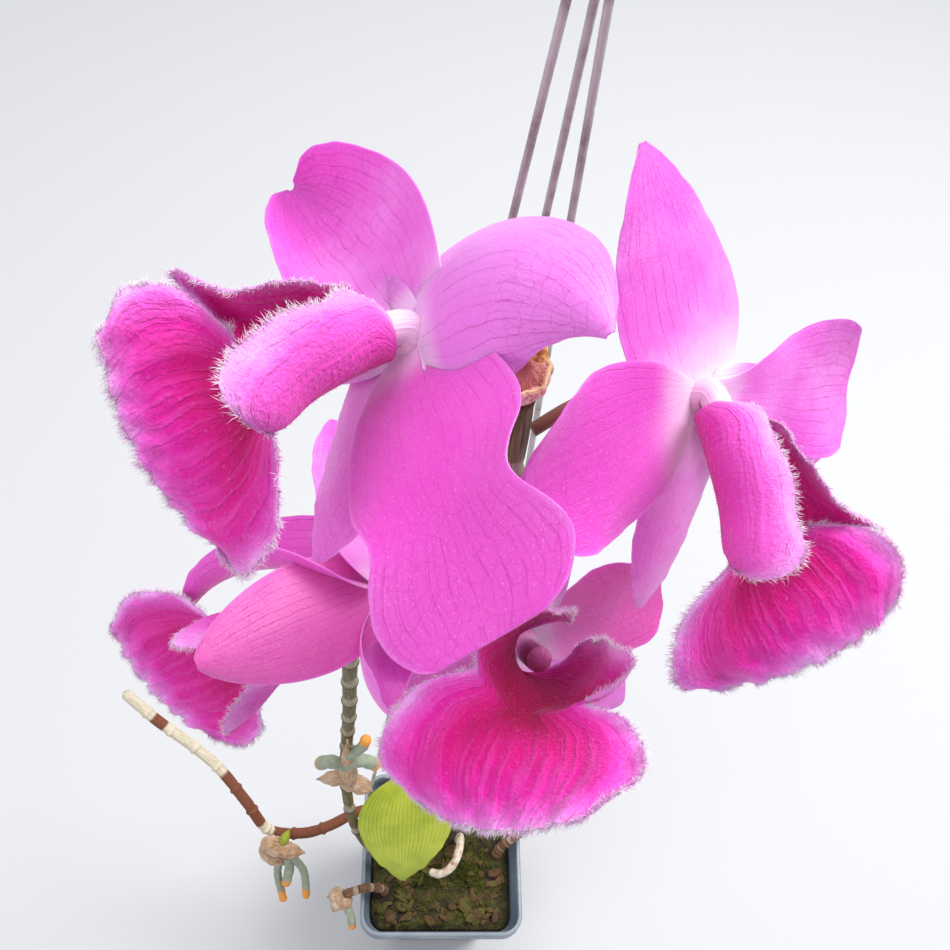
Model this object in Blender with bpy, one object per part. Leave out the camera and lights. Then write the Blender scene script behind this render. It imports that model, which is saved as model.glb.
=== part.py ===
"""Dendrobium orchid with four hairy-lipped blooms, in its square hanging pot.

Metres, +Z up. The origin is the middle of the pot's flat base, and the pot's front faces -Y.
Each bloom is modelled in its own axes: x to its right, y towards its dorsal sepal, z out of its face.
"""
import math
import random
from collections import namedtuple

import bmesh
import bpy
import numpy as np
from mathutils import Euler, Matrix, Vector

MM = 0.001
GAP = 0.3 * MM

# Pot, a square nursery pot with a deep rim band
POT_HEIGHT = 75 * MM
POT_RIM_WIDTH = 78 * MM
POT_MOUTH_WIDTH = 74 * MM
POT_BASE_WIDTH = 54 * MM
POT_WALL = 1.4 * MM
POT_FLOOR = 2.0 * MM
POT_RIM_DEPTH = 8 * MM
POT_CORNER = 9 * MM
DRAIN_OFFSET = 17 * MM
DRAIN_RADIUS = 4 * MM

# Growing medium, bark and moss heaped to just under the rim
MEDIUM_TOP = 66 * MM
MEDIUM_RELIEF = 1.8 * MM
MEDIUM_RINGS = 5
BARK_CHIPS = 10
FOOT_CLEARANCE = 0.6 * MM

# Hanger, three straight wires from the rim to one hook
WIRE_RADIUS = 0.75 * MM
WIRE_HOLE_HEIGHT = 71 * MM
WIRE_RIM_POINTS = {"left": (-1.0, 0.28), "back_left": (-0.29, 1.0), "back_right": (0.43, 1.0)}
WIRE_TOP_OFFSETS = {"left": (-1.4, 0.2), "back_left": (0.9, 0.9), "back_right": (0.1, -1.2)}
HOOK_HOLE_RADIUS = 2.7 * MM
HOOK_POINT = Vector((-3, -6, 584)) * MM
HOOK_COLLAR_RADIUS = 4.6 * MM
HOOK_COLLAR_HEIGHT = 9 * MM
HOOK_WIRE_RADIUS = 1.1 * MM
HOOK_BEND_RADIUS = 11 * MM
HOOK_SHANK = 18 * MM

# Canes and other stems, with the points of their axes in mm from the foot in the medium
NODE_SWELL = 1.22
Stem = namedtuple("Stem", "path radius internode sides")
STEMS = {
    "flowering_cane": Stem(radius=2.7, internode=24, sides=8, path=(
        (1.6, 12, 46), (1.6, 12, 59), (1.6, 12, 72), (1, 8, 130), (-3, -8, 230), (-7, -24, 340), (-9, -34, 430),
        (-10, -38.5, 482), (-10.4, -39.2, 498))),
    "left_cane": Stem(radius=2.3, internode=25, sides=8, path=(
        (-29, -3, 46), (-29, -3, 59), (-29, -3, 72), (-36, -3, 98), (-43, 0, 130), (-45.5, 4, 176), (-44, 3, 222),
        (-42, -4, 270), (-40, -15, 340), (-38.5, -27, 400), (-38, -36, 436))),
    "old_cane": Stem(radius=2.6, internode=15, sides=8, path=(
        (-24, 19, 46), (-24, 19, 59), (-24, 19, 71), (-31, 18, 84), (-41.8, 16.1, 87), (-55, 10, 84.5), (-68, 6.5, 83.4),
        (-84.5, 7, 88.3), (-94.7, 15.8, 105.2), (-109.6, 29.3, 118.8), (-134.2, 42.5, 137.3), (-148.5, 51.5, 148))),
    "leafy_shoot": Stem(radius=1.5, internode=20, sides=6, path=(
        (-14, 14, 46), (-14, 14, 59), (-14, 14, 72), (-15, 15, 115), (-19, 13.5, 153), (-19.5, 12, 158))),
    "curled_root": Stem(radius=2.0, internode=9, sides=6, path=(
        (9, 8, 46), (9, 8, 58), (9, 8, 70), (9, 6, 79), (8, -1, 83), (5, -8, 81), (-1, -11, 77), (-6, -9, 74.5))),
    "rim_stub": Stem(radius=2.2, internode=7, sides=8, path=(
        (28.5, 2, 46), (28.5, 2, 58), (28.5, 2, 70), (31, 3.5, 77), (36, 6, 82), (42, 9, 85))),
    "rim_keiki": Stem(radius=2.0, internode=9, sides=6, path=(
        (-28, -17, 46), (-28, -17, 58), (-28, -17, 70), (-32, -17.5, 78), (-39, -19, 81.5), (-46, -21, 79), (-49, -23, 74))),
}

# Fat bulbs in papery bracts, from one end to the other, and roots with the points of their axes, in mm
Bulb = namedtuple("Bulb", "start end radius")
Root = namedtuple("Root", "path radius")
OFFSHOOTS = {
    "left_cane": (
        Bulb((-38, -35, 431), (-33, -38, 440), 2.6),
        Bulb((-38, -34, 428), (-42, -38, 439), 2.9),
    ),
    "rim_keiki": (
        Bulb((-47, -21, 79), (-55, -21, 73), 4.2),
        Bulb((-48, -21, 77), (-52, -27, 70), 4.4),
        Bulb((-46, -21, 78), (-46, -28, 73), 3.6),
        Root(((-47, -23, 76), (-43.5, -29, 72), (-42.5, -34, 66)), 1.9),
    ),
    "old_keiki": (
        Bulb((-85, -1.4, 95), (-69, -1.4, 78), 5.2),
        Bulb((-86, -2, 88), (-75, -6, 74), 5.2),
        Bulb((-78, -3, 90), (-66, -4, 88), 4.2),
        Bulb((-77, -1, 92), (-73.5, 4, 98), 2.4),
        Root(((-75, -4, 82), (-74, -8, 74), (-76, -14, 65)), 2.3),
        Root(((-72, -4, 81), (-67, -9, 70), (-66, -18, 57)), 1.9),
        Root(((-78, -4, 82), (-80, -9, 68), (-77, -19, 55)), 1.9),
    ),
    "left_keiki": (
        Bulb((-43.5, -4, 190), (-43, -4.6, 246), 3.8),
        Bulb((-44, -5, 205), (-56, -3, 196), 3.4),
        Bulb((-42, -5, 200), (-34, -5, 188), 4.0),
        Root(((-44, -5, 222), (-38, -5, 225), (-32, -4, 217)), 2.6),
        Root(((-44, -5, 220), (-50, -5, 223), (-55, -4, 217)), 2.6),
        Root(((-43, -5, 231), (-38, -5, 239), (-36, -4, 247)), 2.0),
    ),
}

# Lime leaf at the top of the young shoot
LEAF_PLACE = (-19.5, 12, 157.5)
LEAF_ROTATION = (51, 0, 0)

# Papery sheath round the broken top of the flowering cane, (radius, height) up its outside and in to its dome
SHEATH_FOOT = (-10.4, -39.2, 498.3)
SHEATH_AXIS = (-0.12, -0.15, 0.98)
SHEATH_PROFILE = ((2.6, 0), (3.6, 1.5), (4.6, 4), (5.0, 6.2), (4.7, 7), (4.1, 6.6), (3.7, 5.8), (3.1, 7.4), (1.8, 8.6))
STUB_PATH = ((-11.8, -40.7, 507.6), (-11.6, -40.8, 508.4), (-10.2, -40.9, 509.3), (-7.6, -41, 509.8))
STUB_RADII = (1, 1.1, 1.2, 1.4)

# Blooms, all lengths in mm and all angles in degrees
BLADE_THICKNESS = 0.8 * MM
BLADE_ROWS = 9
BLADE_COLUMNS = 7
WAIST_PLACE = 0.62
WAIST_REACH = 0.14
LIP_ROWS = 16
LIP_COLUMNS = 9

Blade = namedtuple("Blade", "clock lean curl hook length width waist sway roll twist cup flare peak claw tip wave waves"
                            " phase")
LEAF = Blade(clock=180, lean=0, curl=-25, hook=0, length=67, width=42, waist=0, sway=0, roll=0, twist=0, cup=-18, flare=0,
             peak=0.42, claw=0.1, tip=1.05, wave=0.8, waves=1.5, phase=0)
SEPAL = Blade(clock=0, lean=0, curl=-20, hook=0, length=38, width=17, waist=0, sway=0, roll=0, twist=0, cup=-25, flare=0,
              peak=0.42, claw=0.5, tip=0.75, wave=0.6, waves=1.5, phase=0)
PETAL = Blade(clock=90, lean=5, curl=-15, hook=0, length=40, width=27, waist=0, sway=0, roll=0, twist=0, cup=15, flare=0.4,
              peak=0.6, claw=0.22, tip=0.5, wave=2.0, waves=1.5, phase=0)

Lip = namedtuple("Lip", "clock sway lean curl length scale open roll twist wave waves phase")
LIP = Lip(clock=180, sway=0, lean=55, curl=-35, length=43, scale=1.0, open=1.0, roll=0, twist=0, wave=1.2, waves=2.5,
          phase=0)
LIP_HALF_WIDTH = ((0, 7), (0.06, 13), (0.16, 16), (0.34, 19), (0.43, 21), (0.51, 10), (0.62, 15), (0.8, 19), (1, 15))
LIP_WRAP = ((0, 110), (0.06, 150), (0.2, 155), (0.34, 150), (0.43, 130), (0.51, 80), (0.62, 30), (0.8, 5), (1, -5))
LIP_FLARE = ((0, 0), (0.3, 0.1), (0.5, 0.3), (0.7, 0.5), (1, 0.5))
LIP_THRUST = ((0, 0), (0.1, 0.5), (0.22, 2), (0.34, 6), (0.43, 7), (0.51, 0), (0.62, -2), (0.8, -1), (1, -3))

COLUMN_RADIUS = 2.4
COLUMN_LENGTH = 8
COLUMN_FOOT = 2.6
LIP_FOOT = 2.2
LIP_STANDOFF = 1.3
OVARY_RADIUS = 1.9
PEDICEL_RADIUS = 1.2
STALK_RINGS = 10
STALK_SIDES = 8

Bloom = namedtuple("Bloom", "place rotation joint_height tepals lip")
BLOOMS = {
    "a": Bloom(place=(-27.6, -48.7, 521.2), rotation=(46, -5, -73), joint_height=488, tepals=(
        SEPAL._replace(clock=0, sway=92, lean=20, curl=-40, length=38, width=30, cup=-95, roll=10, peak=0.33, tip=0.9),
        PETAL._replace(clock=-90, sway=-27, lean=-9, curl=20, length=44, width=28, cup=100, flare=0, roll=-10, peak=0.5,
                       claw=0.5, tip=0.8),
        PETAL._replace(clock=97, lean=8, curl=-20, length=44, width=33, wave=2, waves=2, peak=0.66, tip=0.3, waist=0.33),
        SEPAL._replace(clock=-128, lean=-5, length=44),
        SEPAL._replace(clock=165, lean=-12, curl=-10, length=37),
    ), lip=LIP._replace(clock=158, sway=32, roll=-20, twist=65, lean=52, curl=-35, length=34)),
    "b": Bloom(place=(17.6, -39.4, 498.9), rotation=(59, 14, 37), joint_height=486, tepals=(
        SEPAL._replace(clock=-8, width=25, peak=0.36, tip=0.9, claw=0.6, length=39),
        PETAL._replace(clock=-96, length=37, width=27),
        PETAL._replace(clock=103, lean=12, length=37, width=24, peak=0.75),
        SEPAL._replace(clock=-178, lean=-8, length=44),
        SEPAL._replace(clock=122, lean=10, length=40),
    ), lip=LIP._replace(clock=206, sway=-50, roll=20, twist=-65, lean=42, curl=-22, length=42)),
    "c": Bloom(place=(-30, -49.5, 452), rotation=(130, 28, -60), joint_height=436, tepals=(
        SEPAL._replace(clock=-5, lean=35, curl=5, length=37, width=20, cup=35),
        PETAL._replace(clock=-85, lean=50, curl=60, hook=20, length=46, width=26, cup=-110, flare=0, wave=0.5,
                       peak=0.3, tip=0.8),
        PETAL._replace(clock=78, lean=55, curl=-125, length=32, width=22, cup=-70, flare=0),
        SEPAL._replace(clock=-105, lean=8, length=33, width=22, cup=15),
        SEPAL._replace(clock=145, lean=-20, length=34),
    ), lip=LIP._replace(lean=100, curl=-20, length=54, twist=20)),
    "d": Bloom(place=(-6, -60.1, 453.1), rotation=(59, 15, 15), joint_height=450, tepals=(
        SEPAL._replace(clock=-10, lean=18),
        PETAL._replace(clock=-100, lean=22, length=24, width=22),
        PETAL._replace(clock=75, length=29, width=20),
        SEPAL._replace(clock=-122, lean=0, length=22),
        SEPAL._replace(clock=125, lean=5, length=32),
    ), lip=LIP._replace(clock=330, sway=-120, lean=71, curl=-34, roll=-80, twist=-6, length=43, scale=1.1)),
}


# Materials

def material(name, colour, roughness=0.6, metallic=0.0):
    shade = bpy.data.materials.new(name)
    shade.use_nodes = True
    surface = shade.node_tree.nodes["Principled BSDF"]
    surface.inputs["Base Color"].default_value = (*colour, 1)
    surface.inputs["Roughness"].default_value = roughness
    surface.inputs["Metallic"].default_value = metallic
    return shade


# Meshes and fusing

def new_object(name, points, faces, shade=None):
    mesh = bpy.data.meshes.new(name)
    mesh.from_pydata([tuple(point) for point in points], [], faces)
    mesh.update()
    thing = bpy.data.objects.new(name, mesh)
    bpy.context.collection.objects.link(thing)
    if shade:
        mesh.materials.append(shade)
    return thing


def keep_largest_shell(mesh):
    """Remove the specks that a Boolean can leave beside the body."""
    work = bmesh.new()
    work.from_mesh(mesh)
    left = set(work.faces)
    shells = []
    while left:
        shell = [left.pop()]
        for face in shell:
            for edge in face.edges:
                for near in edge.link_faces:
                    if near in left:
                        left.remove(near)
                        shell.append(near)
        shells.append(shell)
    shells.sort(key=len)
    specks = [face for shell in shells[:-1] for face in shell]
    bmesh.ops.delete(work, geom=specks, context="FACES")
    work.to_mesh(mesh)
    work.free()


def fuse(body, others, operation="UNION", solver="EXACT"):
    """Join the others to the body, or cut them from it, as one closed solid."""
    group = bpy.data.collections.new(body.name + "_tools")
    bpy.context.scene.collection.children.link(group)
    for other in others:
        group.objects.link(other)
    step = body.modifiers.new("fuse", "BOOLEAN")
    step.operation = operation
    step.solver = solver
    step.operand_type = "COLLECTION"
    step.collection = group
    depsgraph = bpy.context.evaluated_depsgraph_get()
    fused = bpy.data.meshes.new_from_object(body.evaluated_get(depsgraph))
    body.modifiers.clear()
    keep_largest_shell(fused)
    body.data = fused
    for other in others:
        bpy.data.objects.remove(other)
    bpy.data.collections.remove(group)
    return body


def smooth_path(points, steps=24):
    """A Catmull-Rom curve through the points, with the length travelled at each of its fine points."""
    knots = np.array(points, float)
    ends = np.vstack((2 * knots[0] - knots[1], knots, 2 * knots[-1] - knots[-2]))
    fine = []
    for a, b, c, d in zip(ends, ends[1:], ends[2:], ends[3:]):
        for t in np.linspace(0, 1, steps, endpoint=False):
            fine.append(0.5 * (2 * b + (c - a) * t + (2 * a - 5 * b + 4 * c - d) * t * t
                               + (3 * b - a - 3 * c + d) * t ** 3))
    fine.append(knots[-1])
    fine = np.array(fine)
    travel = np.concatenate(((0,), np.cumsum(np.linalg.norm(np.diff(fine, axis=0), axis=1))))
    return fine, travel


def read_path(fine, travel, stops):
    return np.column_stack([np.interp(stops, travel, fine[:, axis]) for axis in range(3)])


def tube_geometry(path, radii, sides):
    """Points and faces of a closed tube along the path, with a radius at each of its points."""
    path = np.array(path, float)
    ahead = np.gradient(path, axis=0)
    points = []
    across = Vector(ahead[0]).orthogonal().normalized()
    for centre, direction, radius in zip(path, ahead, radii):
        direction = Vector(direction).normalized()
        across = (across - across.project(direction)).normalized()
        other = direction.cross(across)
        for side in range(sides):
            angle = 2 * math.pi * side / sides
            points.append(Vector(centre) + (math.cos(angle) * across + math.sin(angle) * other) * float(radius))
    faces = [tuple(reversed(range(sides)))]
    for ring in range(len(path) - 1):
        for side in range(sides):
            a = ring * sides + side
            b = ring * sides + (side + 1) % sides
            faces.append((a, b, b + sides, a + sides))
    last = (len(path) - 1) * sides
    faces.append(tuple(range(last, last + sides)))
    return points, faces


def tube(name, path, radii, sides, shade=None):
    points, faces = tube_geometry(path, radii, sides)
    return new_object(name, points, faces, shade)


# Blades: petals, sepals, lips and the leaf

def through(knots, u):
    """A smooth curve through (position, value) knots, read at u."""
    spots, values = np.array(knots, float).T
    slopes = np.gradient(values, spots)
    index = np.clip(np.searchsorted(spots, u, side="right") - 1, 0, len(spots) - 2)
    step = spots[index + 1] - spots[index]
    t = (u - spots[index]) / step
    return ((1 + 2 * t) * (1 - t) ** 2 * values[index] + t * (1 - t) ** 2 * step * slopes[index]
            + t * t * (3 - 2 * t) * values[index + 1] + t * t * (t - 1) * step * slopes[index + 1])


def blade_frame(clock, lean, roll):
    """Directions along, across and out of a blade's face, for arrays of angles in degrees."""
    clock, lean, roll = (np.radians(angle)[:, None] for angle in (clock, lean, roll))
    outward = np.cos(clock) * (0, 1, 0) + np.sin(clock) * (1, 0, 0)
    sideways = np.cos(clock) * (1, 0, 0) - np.sin(clock) * (0, 1, 0)
    along = np.cos(lean) * outward + np.sin(lean) * (0, 0, 1)
    face = np.cos(lean) * (0, 0, 1) - np.sin(lean) * outward
    across = np.cos(roll) * sideways + np.sin(roll) * face
    return along, across, np.cos(roll) * face - np.sin(roll) * sideways


def spread(u, v, spine, along, across, face, half_width, wrap, flare, thrust, ripple):
    """Lay a sheet over its spine: bend each cross line by wrap and flare, then push and ripple the margins."""
    fine = np.linspace(0, 1, 25)
    bend = np.radians(wrap)[:, None] * (fine - flare[:, None] * fine ** 3)
    step = fine[1]
    out = np.concatenate((np.zeros((len(u), 1)), np.cumsum(np.cos(bend[:, 1:]) + np.cos(bend[:, :-1]), axis=1)), axis=1)
    rise = np.concatenate((np.zeros((len(u), 1)), np.cumsum(np.sin(bend[:, 1:]) + np.sin(bend[:, :-1]), axis=1)), axis=1)
    rows = []
    for row in range(len(u)):
        reach = np.interp(np.abs(v), fine, out[row] * step / 2) * np.sign(v) * half_width[row]
        lift = np.interp(np.abs(v), fine, rise[row] * step / 2) * half_width[row]
        rows.append(spine[row] + reach[:, None] * across[row] + (lift + ripple[row])[:, None] * face[row]
                    + (thrust[row] * v * v)[:, None] * along[row])
    return np.array(rows)


def run_spine(start, along, fine_u, u, length):
    """Add up the blade's direction into its midrib, read at u."""
    steps = (along[1:] + along[:-1]) / 2 * length * np.diff(fine_u)[:, None]
    fine = np.vstack(((0, 0, 0), np.cumsum(steps, axis=0))) + start
    return np.column_stack([np.interp(u, fine_u, fine[:, axis]) for axis in range(3)])


def tepal_sheet(blade, u, v, inset=1.0):
    """The middle surface of one petal or sepal, in mm in the bloom's axes."""
    fine_u = np.linspace(0, 1, 41)
    angles = [(blade.clock + blade.sway * at, blade.lean + blade.curl * at ** 1.3 + blade.hook * at ** 6,
               blade.roll + blade.twist * at) for at in (fine_u, u)]
    start = inset * blade_frame(*(np.array((angle,)) for angle in (blade.clock, 0, 0)))[0][0]
    spine = run_spine(start, blade_frame(*angles[0])[0], fine_u, u, blade.length)
    along, across, face = blade_frame(*angles[1])
    rise = blade.tip * blade.peak / (1 - blade.peak)
    top = blade.peak ** rise * (1 - blade.peak) ** blade.tip
    body = u ** rise * (1 - u) ** blade.tip / top
    body *= 1 - blade.waist * np.exp(-((u - WAIST_PLACE) / WAIST_REACH) ** 2)
    half_width = blade.width / 2 * np.sqrt(body ** 2 + (blade.claw * (1 - u)) ** 2)
    side = np.sign(v) * blade.phase
    ripple = [blade.wave * at * np.abs(v) ** 2.5 * np.sin(2 * math.pi * blade.waves * at + side) for at in u]
    return spread(u, v, spine, along, across, face, half_width, np.full(len(u), blade.cup) * np.sqrt(u),
                  np.full(len(u), blade.flare), np.zeros(len(u)), ripple)


def lip_axes(lip):
    """Directions along, across and out of the lip's face at its foot, where it lies along the column."""
    return blade_frame(*(np.array((angle,)) for angle in (lip.clock, lip.lean, lip.roll)))


def lip_sheet(lip, u, v):
    """The middle surface of the lip: a tube round the column that opens into a wide waved mouth."""
    fine_u = np.linspace(0, 1, 41)
    angles = [(lip.clock + lip.sway * at, lip.lean + lip.curl * at ** 1.2, lip.roll + lip.twist * at)
              for at in (fine_u, u)]
    along, _, face = (axis[0] for axis in lip_axes(lip))
    start = np.array((0, 0, COLUMN_FOOT)) + LIP_FOOT * along - (COLUMN_RADIUS + LIP_STANDOFF) * face
    spine = run_spine(start, blade_frame(*angles[0])[0], fine_u, u, lip.length)
    along, across, face = blade_frame(*angles[1])
    ripple = [lip.wave * at ** 2 * np.abs(v) ** 2 * np.sin(2 * math.pi * lip.waves * v + lip.phase) for at in u]
    return spread(u, v, spine, along, across, face, lip.scale * through(LIP_HALF_WIDTH, u), lip.open * through(LIP_WRAP, u),
                  through(LIP_FLARE, u), lip.scale * through(LIP_THRUST, u), ripple)


def thicken(sheet, thickness):
    """Points and triangles of a closed blade round a sheet, split alike on both faces."""
    rows, columns = sheet.shape[:2]
    down = np.gradient(sheet, axis=0)
    over = np.gradient(sheet, axis=1)
    normal = np.cross(over, down)
    normal /= np.linalg.norm(normal, axis=2)[:, :, None]
    half = thickness / 2
    points = np.concatenate(((sheet + half * normal).reshape(-1, 3), (sheet - half * normal).reshape(-1, 3)))
    below = rows * columns
    faces = []
    for row in range(rows - 1):
        for column in range(columns - 1):
            a = row * columns + column
            b, c, d = a + 1, a + columns + 1, a + columns
            pair = ((a, b, c), (a, c, d)) if (row + column) % 2 else ((a, b, d), (b, c, d))
            for one in pair:
                faces.append(one)
                faces.append(tuple(corner + below for corner in reversed(one)))
    edge = list(range(columns))
    edge += [row * columns + columns - 1 for row in range(1, rows)]
    edge += [(rows - 1) * columns + column for column in range(columns - 2, -1, -1)]
    edge += [row * columns for row in range(rows - 2, 0, -1)]
    for a, b in zip(edge, edge[1:] + edge[:1]):
        faces.append((b, a, a + below))
        faces.append((b, a + below, b + below))
    return points, faces


def even_rows(count, tip=0.985):
    """Positions along a blade, closer together at its base and tip."""
    return tip * (0.35 * np.linspace(0, 1, count) + 0.65 * (1 - np.cos(np.linspace(0, math.pi, count))) / 2)


def bloom_matrix(bloom):
    turn = Euler([math.radians(angle) for angle in bloom.rotation]).to_matrix().to_4x4()
    return Matrix.Translation(Vector(bloom.place) * MM) @ turn


def placed(points, matrix):
    return [matrix @ (Vector(point) * MM) for point in points]


def cane_joint(height, towards):
    """The point just off the flowering cane's skin at a height, on the side that looks towards a point, in mm."""
    fine, _ = smooth_path(STEMS["flowering_cane"].path)
    axis = Vector([np.interp(height, fine[:, 2], fine[:, side]) for side in range(3)])
    away = Vector(towards) - axis
    away.z = 0
    return axis + away.normalized() * (STEMS["flowering_cane"].radius * NODE_SWELL + 0.5)


def bloom_stem(bloom, matrix):
    """Pedicel, ovary, the cup that holds the tepals, and the column, as one tube along the bloom's axis."""
    back = Vector((0, 0, -11))
    joint = cane_joint(bloom.joint_height, matrix @ (back * MM) / MM)
    joint = matrix.inverted() @ (joint * MM) / MM
    foot = Vector((0, 0, COLUMN_FOOT))
    column_end = foot + Vector(lip_axes(bloom.lip)[0][0]) * COLUMN_LENGTH
    path = [tuple(joint), tuple(joint.lerp(back, 0.5) + Vector((0, 0, -2))), tuple(back), (0, 0, -5), (0, 0, 0),
            tuple(foot), tuple(column_end)]
    radii = [PEDICEL_RADIUS, PEDICEL_RADIUS, OVARY_RADIUS, 2.9, 3.3, COLUMN_RADIUS, COLUMN_RADIUS * 0.9]
    steps = 8
    fine, travel = smooth_path(path, steps)
    stops = np.linspace(0, travel[-1], STALK_RINGS)
    widths = np.interp(stops, travel[::steps], radii)
    return tube_geometry(read_path(fine, travel, stops), widths, STALK_SIDES)


def build_bloom(key, bloom, tepal_shade, lip_shade):
    matrix = bloom_matrix(bloom)
    thickness = BLADE_THICKNESS / MM
    points, faces = bloom_stem(bloom, matrix)
    body = new_object(f"bloom_{key}", placed(points, matrix), faces, tepal_shade)
    rows = even_rows(BLADE_ROWS)
    columns = np.linspace(-1, 1, BLADE_COLUMNS)
    blades = []
    for blade in bloom.tepals:
        points, faces = thicken(tepal_sheet(blade, rows, columns), thickness)
        blades.append(new_object("blade", placed(points, matrix), faces, tepal_shade))
    fuse(body, blades)
    points, faces = thicken(lip_sheet(bloom.lip, np.linspace(0, 1, LIP_ROWS), np.linspace(-1, 1, LIP_COLUMNS)), thickness)
    lip = new_object(f"bloom_{key}_lip", placed(points, matrix), faces, lip_shade)
    return body, lip


# Pot and medium

def rounded_square(width, corner, height, steps=3):
    """One ring of points of a square with round corners, anticlockwise from above."""
    ring = []
    for quarter in range(4):
        for step in range(steps + 1):
            angle = math.radians(90 * quarter + 90 * step / steps)
            turn = math.radians(90 * quarter + 45)
            centre = (width / 2 - corner) * math.sqrt(2)
            ring.append(Vector((centre * math.cos(turn) + corner * math.cos(angle),
                                centre * math.sin(turn) + corner * math.sin(angle), height)))
    return ring


def loft(name, rings, shade, tip=None):
    """A closed solid through rings of points; the first ring faces down, and a tip closes the last one."""
    count = len(rings[0])
    points = [point for ring in rings for point in ring]
    faces = [tuple(reversed(range(count)))]
    for ring in range(len(rings) - 1):
        for side in range(count):
            a = ring * count + side
            b = ring * count + (side + 1) % count
            faces.append((a, b, b + count, a + count))
    last = (len(rings) - 1) * count
    if tip:
        points.append(tip)
        faces += [(last + side, last + (side + 1) % count, len(points) - 1) for side in range(count)]
    else:
        faces.append(tuple(range(last, last + count)))
    return new_object(name, points, faces, shade)


def cylinder(name, centre, direction, radius, length, sides, shade=None):
    direction = Vector(direction).normalized() * length / 2
    return tube(name, (centre - direction, centre, centre + direction), (radius,) * 3, sides, shade)


def build_pot(shade):
    body_top = POT_HEIGHT - POT_RIM_DEPTH
    shoulder = POT_MOUTH_WIDTH - 0.6 * MM
    inner_shoulder = shoulder - 2 * POT_WALL
    inner_base = POT_BASE_WIDTH - 2 * POT_WALL
    rings = [
        rounded_square(POT_BASE_WIDTH, POT_CORNER, 0),
        rounded_square(shoulder, POT_CORNER, body_top),
        rounded_square(POT_RIM_WIDTH, POT_CORNER + 1 * MM, body_top + 0.6 * MM),
        rounded_square(POT_RIM_WIDTH, POT_CORNER + 1 * MM, POT_HEIGHT - 0.6 * MM),
        rounded_square(POT_RIM_WIDTH - 1.2 * MM, POT_CORNER, POT_HEIGHT),
        rounded_square(POT_MOUTH_WIDTH, POT_CORNER - 1 * MM, POT_HEIGHT),
        rounded_square(POT_MOUTH_WIDTH, POT_CORNER - 1 * MM, body_top + 1.5 * MM),
        rounded_square(inner_shoulder, POT_CORNER - 1.4 * MM, body_top),
        rounded_square(inner_base, POT_CORNER - 1.4 * MM, POT_FLOOR),
    ]
    pot = loft("pot", rings, shade)
    cutters = []
    for x in (-DRAIN_OFFSET, DRAIN_OFFSET):
        for y in (-DRAIN_OFFSET, DRAIN_OFFSET):
            cutters.append(cylinder("drain", Vector((x, y, 0)), (0, 0, 1), DRAIN_RADIUS, 3 * POT_FLOOR, 12))
    for point in WIRE_RIM_POINTS.values():
        x, y = (part * POT_RIM_WIDTH / 2 for part in point)
        cutters.append(cylinder("wire_hole", Vector((x, y, WIRE_HOLE_HEIGHT)), rim_outward(point), 1.2 * MM, 8 * MM, 8))
    return fuse(pot, cutters, "DIFFERENCE")


def medium_half(height):
    """Half the width of the space inside the pot at a height, less the gap."""
    body_top = POT_HEIGHT - POT_RIM_DEPTH
    base = POT_BASE_WIDTH / 2 - POT_WALL
    shoulder = POT_MOUTH_WIDTH / 2 - 0.3 * MM - POT_WALL
    return base + (shoulder - base) * (height - POT_FLOOR) / (body_top - POT_FLOOR) - GAP - 0.1 * MM


def build_medium(shade):
    dice = random.Random(7)
    bottom = POT_FLOOR + GAP
    corner = POT_CORNER - 1.7 * MM
    edge = MEDIUM_TOP - 2 * MEDIUM_RELIEF
    rings = [rounded_square(2 * medium_half(bottom), corner, bottom), rounded_square(2 * medium_half(edge), corner, edge)]
    for ring in range(MEDIUM_RINGS - 1, 0, -1):
        size = 2 * medium_half(edge) * ring / MEDIUM_RINGS
        points = rounded_square(size, min(corner, size / 3), MEDIUM_TOP)
        rings.append([point + Vector((0, 0, dice.uniform(-1, 1) * MEDIUM_RELIEF)) for point in points])
    medium = loft("growing_medium", rings, shade, tip=Vector((0, 0, MEDIUM_TOP)))
    chips = []
    for chip in range(BARK_CHIPS):
        centre = Vector((dice.uniform(-25, 25) * MM, dice.uniform(-25, 25) * MM, MEDIUM_TOP + dice.uniform(-1, 1) * MM))
        turn = Euler((dice.uniform(-0.35, 0.35), dice.uniform(-0.35, 0.35), dice.uniform(0, 3.1))).to_matrix()
        half = Vector((dice.uniform(4, 7), dice.uniform(2.5, 4.5), dice.uniform(1.6, 2.6))) * MM
        rings = []
        for z, shrink in ((-1, 0.8), (0.3, 1), (1, 0.7)):
            corners = ((1, 0.3), (0.4, 1), (-0.7, 0.8), (-1, -0.4), (-0.2, -1), (0.9, -0.8))
            rings.append([centre + turn @ Vector((half.x * x * shrink, half.y * y * shrink, half.z * z)) for x, y in corners])
        chips.append(loft("chip", rings, shade))
    fuse(medium, chips)
    holes = []
    for stem in STEMS.values():
        foot = Vector(stem.path[0]) * MM
        radius = stem.radius * NODE_SWELL * MM + FOOT_CLEARANCE
        centre = foot + Vector((0, 0, 20 * MM - GAP))
        holes.append(cylinder("foot_hole", centre, (0, 0, 1), radius, 40 * MM, 10))
    return fuse(medium, holes, "DIFFERENCE")


# Hanger

def rim_outward(point):
    return Vector((math.copysign(1, point[0]), 0, 0)) if abs(point[0]) > abs(point[1]) else Vector((0, 1, 0))


def wire_top(side):
    return HOOK_POINT + Vector((*WIRE_TOP_OFFSETS[side], 0)) * MM


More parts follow.
